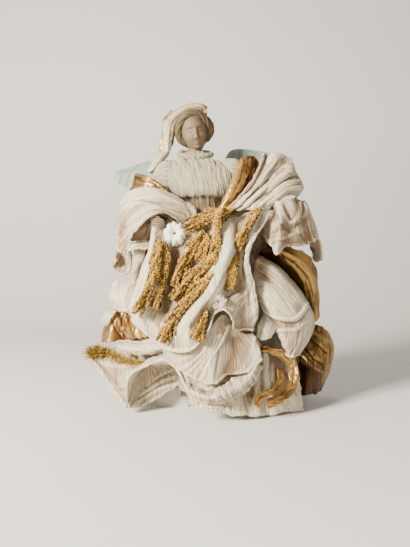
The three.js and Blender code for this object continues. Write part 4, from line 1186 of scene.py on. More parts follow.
# Painted shade over the train, deepest in a band at its left.
TRAIN_PAINTED_SHADE = [
    ([(112, 64), (122, 44), (118, 16)], 16, -0.3),
    ([(102, 32), (109, 24), (106, 10)], 9, -0.9),
]
cloth("gold_train_cloth", "gold_train", GOLD_TRAIN_LINES, seed=87, pleat=0.8, pitch=5.5,
      strokes=TRAIN_STROKES, painted_light=TRAIN_PAINTED_SHADE, reach=9, made_of=GOLD, **FILM)

# %% [markdown]
# A crumpled end of the same gold shows between the lobe and the lifted corner.

# %% Gold at the left, under the lobe
GOLD_FOLD_LINES = [
    [[-86, 91, -2], [-94, 77, -5], [-99, 59, -8]],
    [[-81, 89, -14], [-88, 74, -19], [-92, 58, -21]],
    [[-73, 87, -16], [-77, 73, -16], [-78, 60, -18]],
    [[-65, 80, -28], [-68, 70, -30], [-67, 61, -32]],
    [[-56, 70, -40], [-54, 66, -41], [-53, 63, -42]],
]
FOLD_STROKES = [
    ([(-88, 82), (-84, 70), (-78, 62)], 0.9, -1.6),
    ([(-92, 78), (-93, 65)], 1.1, -1.3),
    ([(-83, 87), (-79, 74), (-72, 64)], 1.5, 1.3),
    ([(-72, 82), (-70, 70), (-66, 62)], 1.3, -1.4),
    ([(-96, 75), (-97, 62)], 1.1, 1),
]
cloth("gold_fold_cloth", "gold_fold", GOLD_FOLD_LINES, seed=89, pleat=0.45, pitch=4.6,
      strokes=FOLD_STROKES, reach=7, made_of=GOLD, **FILM)

# %% [markdown]
# Two ribbon ends hang in front of the gown's hem. They are so narrow that their two edges are fold lines
# enough.

# %% The ribbon ends
RIBBON_OUTER_LINES = [
    [[62, 55, -47], [72, 53, -48], [84, 49, -46], [94, 42, -47], [99, 29, -50], [97, 14, -55],
     [91, 4, -60], [80, -2, -68], [68, -9, -74]],
    [[62, 48, -49], [71, 46, -50], [80, 41, -48], [87, 35, -48], [89, 26, -50], [88, 16, -54],
     [83, 8, -58], [75, 4, -66], [66, 0, -72]],
]
cloth("gold_ribbon_long", "ribbon_outer", RIBBON_OUTER_LINES, seed=91, pleat=0.8, pitch=3.6, reach=5,
      rests_on=["underskirt"], fine=0.7, made_of=GOLD_RIBBON, **FILM)
RIBBON_INNER_LINES = [
    [[84, 32, -49], [84, 21, -54], [80, 12, -60], [71, 5, -70], [62, -2, -76], [57, -8, -79]],
    [[76, 32, -52], [77, 23, -56], [73, 16, -61], [66, 10, -70], [57, 5, -78], [53, -1, -82]],
]
cloth("gold_ribbon_short", "ribbon_inner", RIBBON_INNER_LINES, seed=93, pleat=0.8, pitch=3.6, reach=5,
      rests_on=["underskirt"], fine=0.7, made_of=GOLD_RIBBON, **FILM)

# %% [markdown]
# ## The cape
# The mantle falls down the back in four round folds, wide at the foot, so that the doll has a finished
# back too. It is the widest cloth, so its grid is the coarsest.

# %% The cape
CAPE_LINES = [
    [[-26, 229, 16], [-50, 170, 22], [-62, 100, 12], [-70, 28, 14]],
    [[-35, 229, 14], [-60, 170, 27], [-75, 100, 28], [-82, 28, 30]],
    [[-28, 232, 21], [-44, 170, 39], [-54, 100, 47], [-66, 22, 52]],
    [[-18, 234, 20], [-28, 170, 35], [-37, 100, 46], [-44, 18, 52]],
    [[-10, 236, 26], [-16, 170, 49], [-20, 100, 61], [-22, 15, 69]],
    [[3, 237, 22], [5, 170, 43], [5, 100, 54], [5, 15, 60]],
    [[16, 237, 26], [26, 170, 49], [32, 100, 61], [36, 15, 69]],
    [[28, 236, 20], [45, 170, 37], [52, 100, 46], [60, 18, 52]],
    [[42, 233, 20], [66, 170, 38], [78, 100, 46], [84, 22, 52]],
    [[52, 230, 14], [85, 170, 21], [100, 100, 26], [105, 24, 30]],
    [[44, 229, 15], [68, 170, 15], [84, 100, 12], [99, 26, 14]],
]
# One broad stroke lightens the whole cape a little.
CAPE_LIGHTENING = [([(0, 260), (0, 20)], 300, 0.12)]
cloth("back_cape", "mantle_back", CAPE_LINES, seed=95, pleat=0.8, pitch=13, painted_light=CAPE_LIGHTENING,
      hem=("end",), reach=6, rests_on=["bodice"], fine=2.3)

# %% [markdown]
# ## The gown
# The gown is sewn and filled, not laid: a tube gathered at the waist. The grid is rolled up so that its
# first and last columns meet, the doubles are merged, and a fill closes each end.

# %% A helper for tubes
SEAM_SHARE = 1 / 30
DOUBLES_WITHIN = 0.02


def rolled(name, points, height, material, slot, *stands_for, reach, painted_light=()):
    """A tube of cloth whose first and last columns meet; height is its relief in millimetres."""
    rows, columns = points.shape[:2]
    piece, u = flat_grid(name, columns - 1, rows - 1)[:2]
    across, down = lengths(points)
    out = normals(points)
    middle = points.mean(1, keepdims=True)
    out *= np.sign(((points - middle) * out).sum(-1).mean())
    seam = np.clip(np.minimum(u, 1 - u) / SEAM_SHARE, 0, 1)
    points = points + out * (height * seam)[..., None]
    # The ridge carries painted shade in the hollows, and the strokes add painted light and shade.
    lay(piece, points, across, down, ridges(points, out, reach) + stroked(seen(points), painted_light))
    bpy.ops.object.mode_set(mode="EDIT")
    bpy.ops.mesh.select_all(action="SELECT")
    bpy.ops.mesh.remove_doubles(threshold=DOUBLES_WITHIN * MM)
    bpy.ops.mesh.select_all(action="DESELECT")
    bpy.ops.mesh.select_non_manifold()
    bpy.ops.mesh.fill_holes(sides=0)
    bpy.ops.mesh.select_all(action="SELECT")
    bpy.ops.mesh.normals_make_consistent(inside=False)
    bpy.ops.object.mode_set(mode="OBJECT")
    done(piece, material, slot, *stands_for)
    return piece


# %% The gown's skirt
SKIRT_LINES = [
    [[8, 182.8, 18], [5, 115, 40], [8, 40, 50], [8, 15, 52]],
    [[-6, 183, 16], [-30, 115, 34], [-36, 40, 42], [-36, 13, 44]],
    [[-16, 183.6, 10], [-52, 115, 14], [-60, 40, 10], [-56, 4, 10]],
    [[-18, 184.7, 0], [-53, 115, -6], [-58, 50, -12], [-54, 12, -12]],
    [[-12, 186, -12], [-38, 122, -26], [-44, 60, -30], [-36, 15, -18]],
    [[-2, 187, -20], [-16, 125, -34], [-16, 55, -46], [-10, 6, -50]],
    [[8, 187.5, -24], [6, 125, -36], [12, 55, -54], [12, -4, -64]],
    [[20, 187, -20], [28, 125, -32], [36, 50, -42], [44, -6, -56]],
    [[30, 185.8, -10], [50, 122, -18], [72, 48, -28], [80, -5, -40]],
    [[34, 184.7, 0], [64, 118, 2], [90, 38, -14], [96, -4, -28]],
    [[32, 183.6, 10], [64, 114, 14], [90, 38, 10], [94, 6, 10]],
    [[22, 183, 16], [45, 115, 34], [61, 40, 42], [64, 13, 46]],
]
# Painted shade on the gown's skirt where it shows inside the sleeve's curled hem.
SKIRT_PAINTED_SHADE = [([(-64, 148), (-64, 138), (-66, 124)], 6, -0.9)]
SKIRT_GRID = (230, 96)
skirt_points = fold_surface(SKIRT_LINES, *(np.linspace(0, 1, count) for count in SKIRT_GRID), closed=True)
across, down = lengths(skirt_points)
pleats = 0.9 * crinkle(across, down, seed=101, pitch=6.5)
skirt = rolled("gown_skirt_cloth", skirt_points, pleats, GOWN_COTTON, "gown", "gown_skirt",
               reach=9, painted_light=SKIRT_PAINTED_SHADE)

# %% [markdown]
# The bodice blouses over the waist. Its cotton was wrung and dried, which leaves fine upright creases
# from the neck to the waist. Rings of half widths and half depths give the figure.

# %% The bodice
BODICE_RINGS = [
    (7, 186, 17, 14),
    (6, 194, 16, 13.5),
    (5, 200, 20, 16),
    (5, 203, 28, 21),
    (4, 210, 34, 24),
    (1, 222, 38, 23),
    (0, 231, 35, 18.5),
    (-3, 238.5, 24, 13),
    (-4, 241, 12, 8.5),
    (-5, 248, 9, 6.5),
]
BODICE_BEHIND = -6
BODICE_GRID = (320, 84)
# Painted shade across the waist, under the bloused bodice.
BODICE_PAINTED_SHADE = [([(-16, 194), (14, 196)], 9, -0.5)]


def bodice_surface(angles, v):
    """The bodice at those angles round it and that way up it."""
    rings = []
    for across, up, wide, deep in BODICE_RINGS:
        round_it = np.stack([wide * np.cos(angles), deep * np.sin(angles)], -1)
        rings.append(placed((across, up, BODICE_BEHIND)) + np.pad(round_it, ((0, 0), (0, 1))))
    return through(np.array(rings), v)


angles = math.pi / 2 + np.linspace(0, 2 * math.pi, BODICE_GRID[0])
bodice_points = bodice_surface(angles, np.linspace(0, 1, BODICE_GRID[1]))
across, down = lengths(bodice_points)
drift = 0.5 * smooth_noise(across / 9, down / 12, 111)
upright = (1.2 * np.tanh(2.2 * np.abs(smooth_noise(across / 2.6 + drift, down / 34, 112)))
           + 0.5 * np.tanh(3 * np.abs(smooth_noise(across / 1.5 + drift, down / 13, 113))) - 0.8
           + 0.5 * smooth_noise(across / 6, down / 14, 115))
bodice = rolled("bodice_cloth", bodice_points, 0.9 * upright, GOWN_COTTON, "gown", "bodice",
                reach=5, painted_light=BODICE_PAINTED_SHADE)

# %% [markdown]
# Each upper arm is a puff of the same cotton: a sphere drawn out sideways and creased towards the arm.

# %% The puffed upper arms
PUFFS = {"left": (-34, 224, -6), "right": (31, 226, -6)}
PUFF_SIZE = (16, 14, 16)
PUFF_GRID = (110, 50)
PUFF_END = 1.52

longitude = np.linspace(0, 2 * math.pi, PUFF_GRID[0])
latitude = np.linspace(-PUFF_END, PUFF_END, PUFF_GRID[1])[:, None]
ring = np.cos(latitude)
ball = np.stack([PUFF_SIZE[0] * np.repeat(np.sin(latitude), PUFF_GRID[0], 1),
                 PUFF_SIZE[1] * ring * np.cos(longitude), PUFF_SIZE[2] * ring * np.sin(longitude)], -1)
creases = 0.7 * crinkle(*lengths(ball), seed=121, pitch=3.2)
for side, at in PUFFS.items():
    puff = rolled("upper_arm_puff_" + side, placed(at) + ball, creases, GOWN_COTTON, "gown", "bodice",
                  reach=6)

# %% [markdown]
# The collar is a strip gathered on a thread and rolled round the neck. A torus has the right start: the
# way round it carries the gathers and the way round its tube carries the roll.

# %% The collar
COLLAR = {"at": (-4.5, 246, -6), "wide": 15.3, "deep": 12, "tube": 3.3, "droop": 4.5, "gathers": 19}
bpy.ops.mesh.primitive_torus_add(major_segments=260, minor_segments=20, major_radius=1, minor_radius=0.25)
collar = bpy.context.object
collar.name = "gathered_collar"
torus = points_of(collar)
turn = np.arctan2(torus[:, 1], torus[:, 0])
section = np.arctan2(torus[:, 2], np.hypot(torus[:, 0], torus[:, 1]) - 1)
ruche = smooth_noise((turn + math.pi) * 2.4, section * 0.7 + 3, 131)
gather = np.abs(np.sin(COLLAR["gathers"] / 2 * turn + 0.8 * section + 2 * ruche))
tube = COLLAR["tube"] * (0.8 + 0.16 * gather + 0.2 * ruche)
reach_out = tube * np.cos(section)
move(collar, placed(COLLAR["at"]) + np.stack([
    (COLLAR["wide"] + reach_out) * np.cos(turn),
    (COLLAR["deep"] + reach_out) * np.sin(turn),
    COLLAR["droop"] * np.sin(turn) + tube * np.sin(section),
], -1))
# The troughs of the gathers are stored lower, so they take painted shade.
store(collar.data, "ridge", np.clip(0.25 + 0.5 * gather, 0, 1))
collar.data.uv_layers[0].name = "UVMap"
collar.data.update()
done(collar, GOWN_COTTON, "gown", "collar")

# %% [markdown]
# ## The head
# The head is pressed in a mould from unglazed porcelain, so its features are soft. A sphere is given the
# outline of a head, and each feature is a smooth bump or hollow at a place on the face. The sphere's
# meridians are drawn together towards the face, where the detail is.

# %% The head's place
HEAD = {"at": (-6.5, 269, -6), "tilt": 12, "turn": 7, "nod": 14,
        "wide": 13, "deep": 14.5, "chin": 20.5, "crown": 16.5}
head_turn = (
    Matrix.Rotation(math.radians(-HEAD["tilt"]), 3, "Y")
    @ Matrix.Rotation(math.radians(HEAD["turn"]), 3, "Z")
    @ Matrix.Rotation(math.radians(HEAD["nod"]), 3, "X")
)
head_at = placed(HEAD["at"])


def in_head(points):
    """Points measured from the middle of the head, put in their place, in millimetres."""
    return np.asarray(points, float) @ np.array(head_turn).T + head_at


# %% [markdown]
# The features, as across, up, half width, half height and how far they stand out, in millimetres. Those
# with an across place above nought are mirrored, which is how a mould-maker works too.

# %% The features
FEATURES = {
    "eye socket": (5.5, 1.0, 3.1, 2.5, -1.9),
    "closed lid": (5.6, 0.7, 2.2, 1.5, 1.35),
    "lid crease": (5.6, 2.4, 2.4, 0.35, -0.35),
    "lash line": (5.6, -0.9, 2.2, 0.3, -0.35),
    "brow": (5.2, 4.6, 3.6, 1.3, 0.55),
    "bridge": (0, -1.8, 1.5, 4.4, 1.9),
    "tip of the nose": (0, -6.1, 1.8, 1.6, 2.5),
    "nostril wing": (1.8, -6.8, 0.9, 1.0, 0.9),
    "nostril": (1.0, -7.7, 0.6, 0.4, -0.7),
    "philtrum": (0, -8.8, 0.5, 0.8, -0.3),
    "upper lip": (0, -10.0, 2.9, 0.75, 1.0),
    "lower lip": (0, -11.7, 2.3, 0.8, 1.1),
    "mouth line": (0, -10.8, 3.1, 0.25, -0.6),
    "corner": (3.3, -10.8, 0.7, 0.6, -0.45),
    "under the lip": (0, -13.3, 2.8, 0.8, -0.5),
    "chin": (0, -16.0, 4.6, 2.8, 1.7),
    "cheek": (7.4, -5.2, 3.8, 3.8, 0.7),
}


def face_relief(x, z):
    """How far the features stand out at a place on the face."""
    out = np.zeros(x.shape)
    for across, up, wide, high, height in FEATURES.values():
        side = np.abs(x) if across > 0 else x
        out += height * np.exp(-(((side - across) / wide) ** 2) - ((z - up) / high) ** 2)
    return out


# %% The head
CROWDED_TO_FACE = 0.55
FACE_DEPTH = 6

bpy.ops.object.select_all(action="DESELECT")
bpy.ops.mesh.primitive_uv_sphere_add(segments=144, ring_count=120, radius=1)
head = bpy.context.object
head.name = "porcelain_head"
ball = points_of(head)
share = np.arctan2(ball[:, 0], -ball[:, 1]) / math.pi
angle = math.pi * ((1 - CROWDED_TO_FACE) * share + CROWDED_TO_FACE * share**3)
latitude = np.arcsin(np.clip(ball[:, 2], -1, 1))
low = np.maximum(0, -np.sin(latitude))
ring = np.cos(latitude) ** (0.9 - 0.15 * low)
x = HEAD["wide"] * (1 - 0.25 * low**1.5) * ring * np.sin(angle)
y = -HEAD["deep"] * ring * np.cos(angle)
z = np.where(latitude < 0, HEAD["chin"], HEAD["crown"]) * np.sin(latitude)
relief = face_relief(x, z) * np.clip(-y / FACE_DEPTH, 0, 1)
move(head, in_head(np.stack([x, y - relief, z], -1)))
face_at = head.data.attributes.new("face_at", "FLOAT_VECTOR", "POINT")
face_at.data.foreach_set("vector", np.stack([x, y, z], -1).astype(np.float32).ravel())
head.data.update()

# %% [markdown]
# The paint is thin and matt: brows, a dark line along the closed lids, faded red lips and a blush. Each
# spot is an ellipse with a soft rim in the face's own millimetres, so it stays on the feature it colours.

# %% The porcelain
PAINT = {
    "blush": ((0.5, 0.26, 0.17), 0.15, [(7.2, -5.0, 3.6, 3.0), (-7.2, -5.0, 3.6, 3.0)]),
    "brow": ((0.16, 0.1, 0.055), 0.45, [(5.4, 4.5, 3.0, 0.5), (-5.4, 4.5, 3.0, 0.5)]),
    "lash": ((0.1, 0.06, 0.04), 0.75, [(5.6, -0.9, 2.3, 0.36), (-5.6, -0.9, 2.3, 0.36)]),
    "lips": ((0.28, 0.1, 0.07), 0.4, [(0, -10.05, 2.5, 0.7), (0, -11.5, 1.9, 0.7)]),
}
FRONT_FROM = -4


def painted(tree, colour, face, paint, strength, spot):
    """A colour with one soft spot of paint over it; a spot is across, up, half width, half height."""
    across, up, wide, high = spot
    squares = []
    for axis, centre, half in (("X", across, wide), ("Z", up, high)):
        off = maths(tree, "DIVIDE", maths(tree, "SUBTRACT", face.outputs[axis], centre), half)
        squares.append(maths(tree, "POWER", off, 2))
    away = maths(tree, "ADD", *squares)
    mask = stretched(tree, away, (0.3, 1.3), (strength, 0), interpolation_type="SMOOTHSTEP")
    front = maths(tree, "LESS_THAN", face.outputs["Y"], FRONT_FROM)
    amount = maths(tree, "MULTIPLY", mask, front)
    return node(tree, "Mix", {0: amount, 6: colour, 7: (*paint, 1)}, data_type="RGBA").outputs[2]


PORCELAIN, tree, shader = finish("bisque_porcelain", Roughness=0.62, Subsurface_Weight=0.08,
                                 Subsurface_Radius=(0.004, 0.002, 0.001), Subsurface_Scale=0.3)
place = object_place(tree)
mottle = noise(tree, place, scale=160, detail=6)
# The porcelain is given a dark tan, which also stands as painted shade over the head and the hand.
colour = ramp(tree, mottle, [(0.3, (0.12, 0.084, 0.05)), (0.7, (0.155, 0.11, 0.066))])
face = node(tree, "SeparateXYZ", {0: stored(tree, "face_at", "Vector")})
for paint, strength, spots in PAINT.values():
    for spot in spots:
        colour = painted(tree, colour, face, paint, strength, spot)
coloured(tree, shader, colour)
bumped(tree, shader, noise(tree, place, scale=2600, detail=3), 0.04)

# %% [markdown]
# The neck is a short tube that flares towards the shoulders. A cylinder is cut once through its middle,
# so that it can bend there, and joined to the head, because the two are one piece of porcelain.

# %% The neck
NECK = [(-7, 261, -3), (-5.5, 254, -3), (-4.5, 249, -4), (-4, 244, -5)]
NECK_RADII = (6.0, 6.1, 6.6, 8.5)

bpy.ops.mesh.primitive_cylinder_add(vertices=48, radius=1, depth=1, end_fill_type="NGON")
neck = bpy.context.object
bpy.ops.object.mode_set(mode="EDIT")
bpy.ops.mesh.select_all(action="SELECT")
bpy.ops.mesh.bisect(plane_co=(0, 0, 0), plane_no=(0, 0, 1))
bpy.ops.object.mode_set(mode="OBJECT")
shape = points_of(neck)
way = 0.5 - shape[:, 2]
radius = np.interp(way, np.linspace(0, 1, len(NECK_RADII)), NECK_RADII)
move(neck, on_curve(placed(NECK), way) + shape * (1, 1, 0) * radius[:, None])
done(joined([head, neck]), PORCELAIN, "porcelain", "head")

# %% [markdown]
# ## The hair
# The wig is mohair, combed from a parting into a roll that frames the face, with a knot at the right.
# Long fine grooves make the strands. They follow the combing: round the cap from the parting, and
# twisted round the roll.

# %% The hair's finish
HAIR_TONES = [(0.3, (0.012, 0.007, 0.003)), (0.52, (0.042, 0.026, 0.011)), (0.7, (0.095, 0.06, 0.027))]
HAIR, tree, shader = finish("mohair", Roughness=0.65, Sheen_Weight=0.04)
fibre = noise(tree, drawn_out(tree, surface_uv(tree), 0.05), scale=160, detail=4)
# The colour darkens in the grooves between the strands, which is painted shade.
tone = maths(tree, "MULTIPLY", maths(tree, "ADD", fibre, stored(tree, "ridge")), 0.5)
coloured(tree, shader, ramp(tree, tone, HAIR_TONES))
bumped(tree, shader, fibre, 0.2)

# %% [markdown]
# The cap is a ball of grooved strands. Each roll is a tube round a smooth curve, and so are the arm and
# the fingers further on, so the rings of a tube get a helper of their own.

# %% Rings round a curve
def rings(middle, radius, sides, hint):
    """Rings of points round a line; each begins square to the line and to hint."""
    ahead = unit(np.gradient(middle, axis=0))
    side = unit(np.cross(ahead, hint))
    up = np.cross(side, ahead)
    turn = np.linspace(0, 2 * math.pi, sides)[None, :, None]
    return middle[:, None] + radius[:, None, None] * (np.cos(turn) * side[:, None]
                                                      + np.sin(turn) * up[:, None])


# %% The cap of the hair
CAP = {"at": (0.5, 5.0, 0.3), "radii": (16.2, 15.2, 17.0), "grid": (170, 70), "pole": 0.02}
STRAND = 1.7


def strand_grooves(across, along, seed):
    """Rounded strands side by side, of uneven width."""
    uneven = across / STRAND + 0.8 * smooth_noise(across / (3 * STRAND), along / 9, seed)
    return np.abs(np.sin(math.pi * uneven)) + 0.5 * np.abs(np.sin(2.3 * math.pi * uneven + 1))


turn = np.linspace(0, 2 * math.pi, CAP["grid"][0])
tilt = np.linspace(CAP["pole"], math.pi - CAP["pole"], CAP["grid"][1])[:, None]
cap_round = np.stack([np.cos(tilt) * np.ones_like(turn), np.sin(tilt) * np.sin(turn),
                      np.sin(tilt) * np.cos(turn)], -1)
cap_points = in_head(cap_round * CAP["radii"] + CAP["at"])
across, along = lengths(cap_points)
combed = strand_grooves(np.broadcast_to(turn * 15, across.shape), along, 141)
rolled("hair_cap", cap_points, 0.55 * combed * np.sin(tilt), HAIR, "hair", "wig", reach=3)

# %% [markdown]
# The strands of a roll are grooves that wind round it: their angle grows along the roll by its twist.

# %% The rolls of the hair
ROLL_GRID = (48, 120)
ROLL_ANGLES = np.radians(np.linspace(-48, 228, 13))
KNOT_PATH = [(13, -2, -9), (16, -1, -4), (16.5, 0, 3), (14, 2, 9), (10.5, 4, 11)]


def hair_roll(name, path, radius_at, twist):
    """A roll of hair along a path, with strands twisted round it."""
    v = np.linspace(0, 1, ROLL_GRID[1])
    points = rings(on_curve(path, v), radius_at(v), ROLL_GRID[0], np.array(head_turn) @ (0, 1, 0))
    turn = np.linspace(0, 2 * math.pi, ROLL_GRID[0])[None, :]
    strands = np.abs(np.sin(3 * turn + twist * v[:, None]))
    fine = np.abs(np.sin(10 * turn + 3 * twist * v[:, None] + 2))
    rolled(name, points, 0.7 * strands + 0.35 * fine - 0.5, HAIR, "hair", "wig", reach=3)


above = np.maximum(0, np.sin(ROLL_ANGLES))
roll_path = in_head(np.stack([15.2 * np.cos(ROLL_ANGLES), -1.5 - 3.5 * above,
                              (13.8 + 3.6 * above) * np.sin(ROLL_ANGLES) - 0.5], -1))
hair_roll("hair_roll", roll_path, lambda v: 2.9 + 1.3 * np.sin(math.pi * v), 26)
hair_roll("hair_knot", in_head(KNOT_PATH), lambda v: 1.4 + 2.9 * np.sin(math.pi * v) ** 0.7, 15)

# %% [markdown]
# The veil is a strip of cotton laid over the crown. It bends round the left side of the head and comes
# down on the shoulder, and a narrow gold lining peeps out behind it.

# %% The veil
VEIL_LINES = [
    [[6, 286, 4], [-1, 288, 8], [-11, 287, 10], [-20, 283, 8], [-24, 274, 6],
     [-26, 261, 4], [-29, 250, 3], [-35, 242, 2], [-44, 233, 1]],
    [[7, 291, 2], [-2, 294, 8], [-13, 293, 8], [-25, 287, 6], [-33, 277, 3],
     [-34, 262, 2], [-35, 251, 1], [-42, 243, 0], [-49, 233, -1]],
    [[7, 293, -6], [-3, 297, -6], [-14, 295, -6], [-27, 288, -6], [-35, 278, -6],
     [-36, 263, -6], [-37, 252, -6], [-44, 243, -7], [-52, 230, -8]],
    [[7, 290, -12], [-2, 295, -16], [-13, 293, -17], [-25, 286, -16], [-33, 276, -14],
     [-34, 262, -13], [-34, 250, -13], [-42, 240, -14], [-50, 228, -17]],
    [[6, 287, -10], [-1, 290, -14], [-11, 289, -15], [-20, 284, -14], [-26, 275, -12],
     [-28, 262, -10], [-30, 251, -10], [-36, 243, -12], [-44, 234, -15]],
]
VEIL_STROKES = [
    ([(3, 294), (-10, 293), (-22, 287), (-30, 277), (-32, 262), (-33, 250)], 1.9, 0.9),
    ([(4, 290), (-8, 290), (-19, 285), (-26, 276), (-29, 264)], 0.9, -0.9),
    ([(-32, 282), (-34, 270), (-34.5, 254)], 0.9, -0.7),
]
# Painted shade over the top of the veil and, lighter, down its side.
VEIL_PAINTED_SHADE = [
    ([(4, 292), (-14, 293), (-28, 280)], 6, -0.55),
    ([(-32, 270), (-33, 250), (-44, 238)], 6, -0.2),
]
cloth("head_veil", "veil", VEIL_LINES, seed=151, pleat=0.35, pitch=3, strokes=VEIL_STROKES,
      painted_light=VEIL_PAINTED_SHADE, hem=("left", "right"), reach=5, rests_on=["wig"], fine=0.8)
VEIL_GOLD_LINES = [
    [[-24, 289, 8], [-32, 284, 7], [-34, 274, 6], [-35, 260, 6], [-37, 250, 6], [-41, 243, 6]],
    [[-28, 290, 12], [-37, 281, 11], [-37, 272, 10], [-40, 258, 10], [-41, 250, 10], [-43, 244, 10]],
]
cloth("gold_veil_lining", "veil_gold", VEIL_GOLD_LINES, seed=153, pleat=0.8, pitch=3, reach=4,
      rests_on=["veil"], fine=0.6, made_of=GOLD, **FILM)

# %% [markdown]
# ## The wings
# The wings are stiff white card with its feathers pressed in. Long vanes fan from the root to the lower
# edge, where their round tips make the scallops.

# %% The white finish
WHITE, tree, shader = finish("white_card", Roughness=0.8)
fleck = noise(tree, surface_uv(tree), scale=14, detail=5)
# The card is darker where its relief sinks between the vanes, which is painted shade.
tone = maths(tree, "MULTIPLY", fleck, stored(tree, "ridge"))
coloured(tree, shader, ramp(tree, tone, [(0.1, (0.2, 0.26, 0.23)), (0.36, (0.44, 0.53, 0.48))]))
bumped(tree, shader, fleck, 0.3)

# %% The wings
WING = {"grid": (60, 110), "card": 1.2, "vanes": 9, "scallop": 3.2, "covert_share": 0.18}
WING_LEFT_LINES = [
    [[-6, 236, 31], [-28, 240, 25], [-50, 240, 27], [-69, 234, 28], [-84, 229, 28]],
    [[-8, 228, 34], [-28, 230, 28], [-50, 228, 30], [-70, 224, 30], [-86, 223, 28]],
    [[-8, 216, 41], [-28, 216, 33], [-50, 209, 32], [-67, 210, 31], [-82, 216, 28]],
]
WING_RIGHT_LINES = [
    [[8, 228, 31], [22, 236, 27], [31, 250, 29], [62, 249, 30], [91, 243, 29]],
    [[8, 228, 35], [22, 230, 31], [40, 232, 31], [62, 230, 31], [93, 235, 29]],
    [[8, 216, 42], [22, 216, 38], [40, 210, 35], [64, 213, 32], [90, 228, 29]],
]


def wing(name, node_name, lines):
    """A wing through lines from its upper edge to its lower one, each from root to tip."""
    piece, u, v = flat_grid(name, *WING["grid"])
    points = fold_surface(lines, u, v)
    u, v = u[None, :], v[:, None]
    vane = np.abs(np.sin(math.pi * (v * WING["vanes"] - 1.6 * u))) ** 0.5
    barbs = 0.12 * np.sin(60 * math.pi * v + 25 * u)
    growth = np.clip((u - WING["covert_share"]) / 0.3, 0, 1)
    scallop = WING["scallop"] * (vane - 1) * u**3
    points = points + unit(np.gradient(points, axis=1)) * scallop[..., None]
    covert = np.abs(np.sin(math.pi * (v * 1.7 * WING["vanes"] + 3 * u)))
    relief = growth * (0.45 * vane + 0.3 * barbs) + (1 - growth) * 0.15 * covert
    across, down = lengths(points)
    out = normals(points)
    out *= -np.sign(out[..., 1].mean())
    # The relief is stored as the ridge, so the grooves take painted shade.
    lay(piece, points + out * relief[..., None], across, down, 0.2 + 0.7 * relief)
    thicken(piece, WING["card"])
    done(piece, WHITE, "wing", node_name)


wing("wing_of_card_left", "wing_left", WING_LEFT_LINES)
wing("wing_of_card_right", "wing_right", WING_RIGHT_LINES)

# %% [markdown]
# ## The hand
# One porcelain forearm shows inside the sleeve. Its hand closes on the corner of the lap cloth: a tapered
# arm with four fingers bent over the cloth and a thumb.

# %% The hand
ARM = [(-52, 166, -20), (-50, 171, -30), (-47, 176, -38), (-44.5, 178.5, -42)]
FINGERS = [
    [(-48, 180, -44), (-43, 181.5, -47), (-38, 180.5, -48.5), (-35, 177, -48)],
    [(-48, 178, -45), (-43, 179.5, -48.5), (-38, 178, -49.5), (-35.5, 174.5, -48.5)],
    [(-48, 176, -45), (-43.5, 177.3, -49), (-39, 175.7, -50), (-37, 172.5, -48.5)],
    [(-48, 174, -45), (-44, 175, -48.5), (-40.5, 173.5, -49.5), (-39, 171, -48)],
    [(-49, 181, -42), (-47, 183.5, -44), (-43, 184, -45.5), (-40, 182.5, -46)],
]
ARM_RADII = (3.1, 2.9, 2.5, 3.0, 3.4, 2.2)
FINGER_RADII = (1.25, 1.2, 1.15, 1.1, 0.8)


def limb(name, path, radii, steps, sides, reach):
    """A smooth limb along a path, with the radius taken from radii."""
    way = np.linspace(0, 1, steps)
    radius = np.interp(way, np.linspace(0, 1, len(radii)), radii)
    points = rings(on_curve(placed(path), way), radius, sides + 1, (0.2, 1, 0.1))
    rolled(name, points, np.zeros(points.shape[:2]), PORCELAIN, "porcelain", "hand", reach=reach)


limb("porcelain_hand", ARM, ARM_RADII, steps=26, sides=20, reach=4)
for i, finger in enumerate(FINGERS):
    limb("finger_%d" % (i + 1), finger, FINGER_RADII, steps=16, sides=12, reach=2)

# %% [markdown]
# ## What lies on the lap
# The grasses rest on the cloth, so their places are found by looking from the eye through a place in the
# picture until the line of sight meets the cloth. A BVH tree of all the cloth answers that quickly.

# %% Looking for the cloth
def tree_of(pieces):
    """A tree of the faces of those pieces."""
    points, faces = [], []
    for piece in pieces:
        start = len(points)
        points += [vertex.co[:] for vertex in piece.data.vertices]
        faces += [[start + i for i in face.vertices] for face in piece.data.polygons]
    return BVHTree.FromPolygons(points, faces)


under = tree_of([apron, fan, ruffle, sleeve, flap, skirt_front, skirt_left, skirt_curl, lap_lobe, skirt,
                 bodice, sash])
eye = np.array([EYE["across"], BODY_PLANE - EYE["distance"], EYE["up"]])


def resting(across, up, lift):
    """Where the sight line through a place meets the cloth, lifted towards the eye, in millimetres."""
    sight = placed((across, up, 0)) - eye
    sight /= np.linalg.norm(sight)
    hit = under.ray_cast(Vector(eye * MM), Vector(sight))[0]
    return np.array(hit) / MM - sight * lift


# %% [markdown]
# The dried grass is like millet: each head is a bent stalk set with short spikes, and each spike is
# crowded with little husks. One husk is six faces round five points, copied by the hundred.

# %% The grass finish
STRAW = [(0.15, (0.02, 0.008, 0.001)), (0.5, (0.25, 0.12, 0.016)), (0.85, (0.76, 0.47, 0.09))]
GRASS, tree, shader = finish("dried_husks", Roughness=0.7)
speck = noise(tree, object_place(tree), scale=900, detail=3)
coloured(tree, shader, ramp(tree, maths(tree, "MULTIPLY_ADD", speck, 0.35, stored(tree, "tone")), STRAW))
bumped(tree, shader, speck, 0.2)

# %% A husk and its copies
HUSK_POINTS = np.array([(0, 0.8, 0), (0.7, -0.4, 0), (-0.7, -0.4, 0), (0, 0, 1.3), (0, 0, -1.2)])
HUSK_FACES = np.array([(1, 0, 3), (2, 1, 3), (0, 2, 3), (0, 1, 4), (1, 2, 4), (2, 0, 4)])


def facing(directions):
    """A turn for each direction that points a small shape's length along it."""
    ahead = unit(directions)
    side = unit(np.cross(ahead, (0.31, 0.87, 0.38)))
    return np.stack([side, np.cross(ahead, side), ahead], -1)


